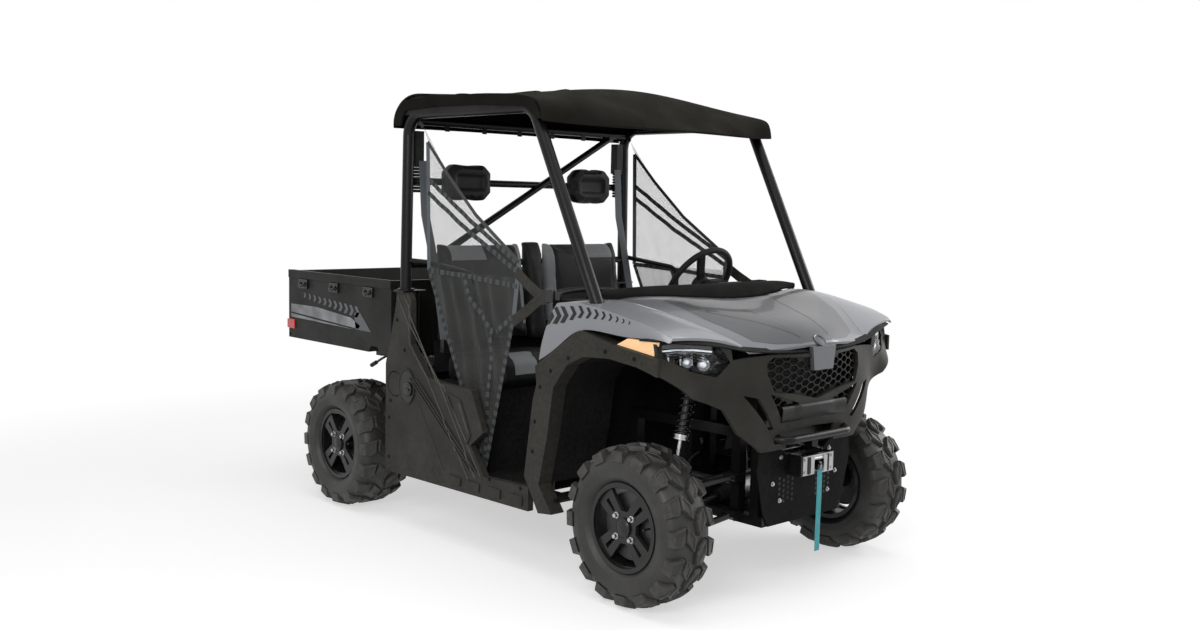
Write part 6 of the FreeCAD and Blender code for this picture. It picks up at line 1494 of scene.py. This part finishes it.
give(tree, skin, Base_Color=mixed(tree, tag_grain, (0.02, 0.10, 0.38), (0.03, 0.16, 0.52)),
     Roughness=0.4)
settle(tags, "housing_tag", blue_tag, "chassis", "drive_metal")
print("boots", 4, "bolts", 4 * HOUSING_BOLTS)

# %% [markdown]
# The side panel is one large moulding. Raised ridges run down its slanted band, in a paler colour
# that is a painted highlight on their rounded edges. A shallow pocket breaks the half door, the
# fuel filler has a ribbed cap in a bowl whose near-black floor is painted shade of the recess, and
# the sill has stepped grip blocks. Small forms like these are separate pieces, seated on the panel.

# %% Places on the side panel
panel_face = tree_of("side_panels")
PANEL_OUT, LOOK_BACK = 0.66, 0.008


def on_panel(side, x, z, proud=0.0):
    """The panel's outer face at a place, or a little behind it where the panel has ended."""
    for back in range(8):
        spots = [panel_face.ray_cast(Vector((x - LOOK_BACK * back + reach, side * OUTSIDE_Y, z)),
                                     Vector((0, -side, 0)))[0] for reach in (0.0, 0.007)]
        if all(hit is not None and abs(hit.y) > PANEL_OUT for hit in spots):
            return spots[0] + Vector((0, side * proud, 0))
    return None


def along_panel(side, corners, proud, step=0.02):
    """Points on the panel along a line of corners."""
    line = []
    for (x1, z1), (x2, z2) in zip(corners, corners[1:]):
        count = max(2, int(math.hypot(x2 - x1, z2 - z1) / step))
        for k in range(count):
            x, z = x1 + (x2 - x1) * k / count, z1 + (z2 - z1) * k / count
            line.append(on_panel(side, x, z, proud))
    line.append(on_panel(side, *corners[-1], proud))
    return [place for place in line if place]


# %% Ridges, seams and the pocket's rim
ridges, rims, bowls, caps, blocks, levers, seams = [bmesh.new() for k in range(7)]
RIDGES = ([(-0.375, 1.038), (-0.217, 0.812), (-0.147, 0.700), (0.155, 0.304)],
          [(-0.328, 1.046), (-0.141, 0.811), (-0.100, 0.750), (0.203, 0.318)],
          [(-0.258, 1.007), (-0.051, 0.708), (0.237, 0.332)],
          [(0.001, 0.632), (0.138, 0.464)], [(0.086, 0.618), (0.151, 0.500)])
POCKET = [(-0.004, 0.650), (0.098, 0.628), (0.168, 0.490), (0.142, 0.450), (0.120, 0.470),
          (-0.004, 0.650)]
SEAM = [(-0.214, 0.577), (-0.120, 0.450), (-0.016, 0.308)]
FILLER_X, FILLER_Z = -0.300, 0.640
BOWL = [(0.062, 0.082, -0.001), (0.062, 0.082, 0.004), (0.056, 0.076, 0.005), (0.050, 0.070, 0.001)]
CAP_RIBS, RIB_RING = 14, 0.0285
BLOCK_XS, BLOCK_LONG, BLOCK_Y = (0.020, 0.150, 0.290, 0.430), 0.085, 0.692


def fuel_filler(side):
    """A shallow oval bowl, its floor painted near-black as shade, with a ribbed cap and its grip in
    it.
    """
    middle = on_panel(side, FILLER_X, FILLER_Z, 0.0015)
    rings = [[middle + Vector((wide * math.cos(a), side * proud, tall * math.sin(a)))
              for a in circle(40)] for wide, tall, proud in BOWL]
    skin_rings(rims, rings, caps=False)
    # The bowl's floor is a near-black disc: painted shade in the recess round the cap.
    skin_rings(bowls, [[place + Vector((0, side * shift, 0)) for place in rings[-1]]
                       for shift in (0.0, 0.0004)])
    hub = middle + Vector((0.016, side * 0.001, -0.010))
    turned(caps, hub, (0, side, 0),
           [(0, 0.030), (0.007, 0.030), (0.011, 0.026), (0.012, 0.019)], 36)
    for a in circle(CAP_RIBS):
        spot = hub + Vector((RIB_RING * math.cos(a), side * 0.0045, RIB_RING * math.sin(a)))
        rod(caps, spot - Vector((0, 0.004, 0)), spot + Vector((0, 0.004, 0)), 0.0035, sides=8)
    slab(caps, hub + Vector((-0.019, -0.004 + side * 0.013, -0.0045)),
         hub + Vector((0.019, 0.004 + side * 0.013, 0.0045)))


# %% Side panel details
LEVER = ((-0.500, 0.640, 0.760), (-0.530, 0.662, 0.742), (-0.575, 0.672, 0.716),
         (-0.610, 0.676, 0.698))
for side in (-1, 1):
    for corners in RIDGES:
        tube(ridges, along_panel(side, corners, 0.0005), 0.0030, 8)
    ribbon(rims, along_panel(side, POCKET, 0.001), 0.009, 0.006, (0, side, 0))
    ribbon(seams, along_panel(side, SEAM, 0.0006), 0.006, 0.0012, (0, side, 0))
    turned(rims, (-0.395, side * 0.6895, 0.640), (0, side, 0),
           [(0, 0.054), (0.0007, 0.054), (0.0008, 0.001)], 40)
    fuel_filler(side)
    for x in BLOCK_XS:
        if on_panel(side, x, 0.264) and on_panel(side, x + BLOCK_LONG, 0.298):
            side_slab(blocks, side, (x, x + BLOCK_LONG), BLOCK_Y, 0.0045, (0.262, 0.300),
                      pitched(2))
    lever = [(x, side * y, z) for x, y, z in LEVER]
    smooth_tube(levers, lever, 0.0055, 10)
    tube(levers, [Vector(place) for place in lever[2:]], 0.0095, 12)
# The ridges' pale colour is a painted highlight on their rounded edges.
settle(ridges, "panel_ridges", ridge_painted_highlight, "chassis", "panel_olive", sharp=60)
settle(rims, "panel_rims", panel_olive, "chassis", "panel_olive", bevel=0.0015)
# The bowls' near-black floors are painted shade of the recess.
settle(bowls, "fuel_bowl_painted_shade", decal_black, "chassis", "panel_olive")
settle(seams, "panel_seams", decal_black, "chassis", "panel_olive")
settle(caps, "fuel_caps", shock_black, "chassis", "panel_olive", bevel=0.0008)
settle(blocks, "sill_blocks", panel_olive, "chassis", "panel_olive", bevel=0.0025)
settle(levers, "bed_levers", column_black, "chassis", "bed_black")
print("side panel details on both sides")

# %% [markdown]
# The cargo bed is a double-walled moulding. Its upper band stands proud and holds three tie-down
# cups on each side, its floor and walls are ribbed, and the tailgate has four sunk panels and a
# handle plate.

# %% Cargo bed details
BED_REAR, BED_FRONT, BED_SIDE = -1.424, -0.490, 0.650
CUP_XS, CUP_HALF = (-1.270, -0.980, -0.675), 0.040
CUP_HOOK = ((-0.022, 0.008, 1.044), (-0.020, 0.020, 1.030), (0.0, 0.023, 1.020),
            (0.020, 0.020, 1.030), (0.022, 0.008, 1.044))
WALL_RIBS, WALL_PITCH, FLOOR_RIBS, FLOOR_PITCH = 9, 0.095, 11, 0.10
bands, cups, ribs = [bmesh.new() for k in range(3)]
for side in (-1, 1):
    side_slab(bands, side, (BED_REAR, BED_FRONT), BED_SIDE + 0.002, 0.003, (1.058, 1.0985))
    for x in CUP_XS:
        side_slab(cups, side, (x - CUP_HALF, x + CUP_HALF), BED_SIDE + 0.005, 0.005, (1.010, 1.056))
        hook = [(x + dx, BED_SIDE + dy, z) for dx, dy, z in CUP_HOOK]
        tube(cups, mirrored(side, hook), 0.0045, 8)
    for k in range(WALL_RIBS):
        x = -1.36 + WALL_PITCH * k
        side_slab(ribs, side, (x - 0.009, x + 0.009), 0.6225, 0.0015, (0.800, 1.050))
for k in range(FLOOR_RIBS):
    y = -0.50 + FLOOR_PITCH * k
    slab(ribs, (-1.370, y - 0.014, 0.790), (-0.530, y + 0.014, 0.7935))
settle(bands, "bed_bands", bed_black, "cargo_bed", "bed_black", bevel=0.002)
settle(cups, "tie_down_cups", shock_black, "cargo_bed", "bed_black", bevel=0.002)
settle(ribs, "bed_ribs", bed_black, "cargo_bed", "bed_black", bevel=0.0012)
print("bed ribs", 2 * WALL_RIBS + FLOOR_RIBS)

# %% Tailgate panels
mould = bmesh.new()
for y in (-0.42, -0.14, 0.14, 0.42):
    slab(mould, (-1.4275, y - 0.105, 0.835), (-1.4225, y + 0.105, 1.010))
slab(mould, (-1.4290, -0.200, 1.035), (-1.4225, 0.200, 1.080))
settle(mould, "tailgate_panels", bed_black, "tailgate", "bed_black", bevel=0.002)
print("tailgate panels 4 and a handle plate")

# %% [markdown]
# In the cab: a display pod ahead of the steering wheel, vents, a glove box lid, a grab handle for
# the passenger, a switch row, a gear lever in its gate, two pedals and a valance under the backs.

# %% Dash parts
GRAB = ((0.575, -0.560, 1.075), (0.540, -0.555, 1.105), (0.530, -0.450, 1.118),
        (0.530, -0.340, 1.118), (0.540, -0.235, 1.105), (0.575, -0.230, 1.075))
GEAR_LEVER = ((0.520, 0.045, 0.905), (0.505, 0.045, 0.985), (0.485, 0.045, 1.050))
POD_TILT, LID_TILT, PEDAL_TILT, WHEEL_TILT = -14, 2, -25, 32
SWITCHES, SWITCH_PITCH = 5, 0.040
pods, lids, screens, pedals, mats = [bmesh.new() for k in range(5)]
slab(pods, (0.590, 0.290, 1.082), (0.660, 0.450, 1.128), pitched(POD_TILT))
slab(screens, (0.5885, 0.305, 1.088), (0.5905, 0.435, 1.124), pitched(POD_TILT))
slab(lids, (0.562, -0.520, 0.965), (0.5695, -0.240, 1.055), pitched(LID_TILT))
slab(lids, (0.560, -0.110, 0.990), (0.5685, 0.130, 1.058), pitched(LID_TILT))
for k in range(SWITCHES):
    y = -0.088 + SWITCH_PITCH * k
    slab(pods, (0.553, y, 1.005), (0.562, y + 0.026, 1.030))
for y in (-0.545, 0.545):
    turned(pods, (0.572, y, 1.040), (-1, 0, 0),
           [(0, 0.026), (0.010, 0.026), (0.012, 0.021), (0.006, 0.018), (0.006, 0.001)], 28)
smooth_tube(pods, GRAB, 0.0125, 12)
smooth_tube(pods, GEAR_LEVER, 0.0065, 10)
turned(pods, (0.489, 0.045, 1.035), (-0.25, 0, 1),
       [(0, 0.008), (0.008, 0.017), (0.030, 0.021), (0.042, 0.017), (0.047, 0.004)], 24)
slab(pods, (0.500, 0.010, 0.902), (0.570, 0.080, 0.915))

# %% Pedals, floor ribs and wheel cap
for y, half in ((0.300, 0.028), (0.440, 0.040)):
    arm = ((0.655, y, 0.620), (0.620, y, 0.520), (0.590, y, 0.440))
    tube(pedals, [Vector(place) for place in arm], 0.007, 8)
    slab(pedals, (0.574, y - half, 0.405), (0.586, y + half, 0.470), pitched(PEDAL_TILT))
slab(mats, (-0.300, -0.545, 0.690), (-0.293, 0.545, 0.836))
for side in (-1, 1):
    for k in range(9):
        x = 0.200 + 0.034 * k
        side_slab(mats, side, (x - 0.006, x + 0.006), 0.330, 0.190, (0.3233, 0.3265))
for side in (-1, 1):
    side_slab(mats, side, (-0.180, 0.700), 0.6265, 0.0485, (0.3140, 0.3210))
settle(pods, "dash_parts", column_black, "chassis", "dash_black", bevel=0.003)
settle(lids, "dash_lids", dash_black, "chassis", "dash_black", bevel=0.003)
settle(screens, "dash_screen", decal_black, "chassis", "dash_black")
settle(pedals, "pedals", column_black, "chassis", "column_black", bevel=0.002)
settle(mats, "floor_ribs_and_valance", floor_black, "chassis", "floor_black", bevel=0.001)

mould = bmesh.new()
hub_tilt = math.radians(WHEEL_TILT)
turned(mould, (0.470, 0.370, 1.120), (-math.cos(hub_tilt), 0, math.sin(hub_tilt)),
       [(0, 0.040), (0.006, 0.040), (0.012, 0.034), (0.014, 0.020), (0.014, 0.001)], 36)
settle(mould, "wheel_cap", column_black, "steering_wheel", "wheel_grip")
print("cab parts made")

# %% [markdown]
# Push-in fasteners hold the arch mouldings and liners. They are hardly bigger than a pixel from
# afar, but they make a moulding look fitted. The roof gets four raised ribs, and a rubber seal
# under each edge closes the gap to the cage.

# %% Fasteners
FLARE_Y, SILL_Y = 0.716, 0.690
FLARE_SPOTS = ((0.600, 0.500), (0.612, 0.620), (0.640, 0.760), (0.700, 0.830), (0.800, 0.890),
               (1.000, 0.935), (1.150, 0.925))
SILL_SPOTS = ((-0.440, 0.300), (-0.440, 0.480), (-0.430, 0.560), (0.300, 0.330), (0.500, 0.330),
              (-0.380, 0.930), (-0.320, 0.800))
mould = bmesh.new()
for side in (-1, 1):
    for y, spots in ((FLARE_Y, FLARE_SPOTS), (SILL_Y, SILL_SPOTS)):
        for x, z in spots:
            turned(mould, (x, side * (y - 0.001), z), (0, side, 0),
                   [(0, 0.0085), (0.002, 0.0085), (0.0032, 0.006), (0.0034, 0.001)], 16)
settle(mould, "push_fasteners", dash_black, "chassis", "panel_olive")
print("fasteners", 2 * len(FLARE_SPOTS + SILL_SPOTS))

# %% Roof ribs and seals
RIB_YS, RIB_STATIONS = (-0.46, -0.30, 0.30, 0.46), 24
SEAL_YS, SEAL_STATIONS, SEAL_LOW = (0.668, 0.684), 56, 1.835
EDGE_LOW, EDGE_TOP = 1.80, 1.93
roof_top = tree_of("roof_panel")
mould = bmesh.new()
for y in RIB_YS:
    line = []
    for k in range(RIB_STATIONS):
        hit = roof_top.ray_cast(Vector((-0.300 + 0.026 * k, y, 2.1)), Vector((0, 0, -1)))[0]
        if hit:
            line.append(hit + Vector((0, 0, 0.0005)))
    ribbon(mould, line, 0.026, 0.007, (0, 0, 1))
strips = bmesh.new()
for side in (-1, 1):
    for y in SEAL_YS:
        walls = []
        for k in range(SEAL_STATIONS):
            x = -0.385 + 0.018 * k
            under = roof_top.ray_cast(Vector((x, side * y, EDGE_LOW)), Vector((0, 0, 1)))[0]
            if under and EDGE_LOW < under.z < EDGE_TOP:
                walls.append([Vector((x, side * y + out, z)) for out, z in (
                    (-0.001, SEAL_LOW), (0.001, SEAL_LOW), (0.001, under.z + 0.001),
                    (-0.001, under.z + 0.001))])
        skin_rings(strips, walls)
        print("roof seal at", side * y, "stations", len(walls))
settle(strips, "roof_seals", rubber_black, "chassis", "roof_black")
settle(mould, "roof_ribs", roof_black, "chassis", "roof_black", bevel=0.0025)
print("roof ribs", len(RIB_YS))
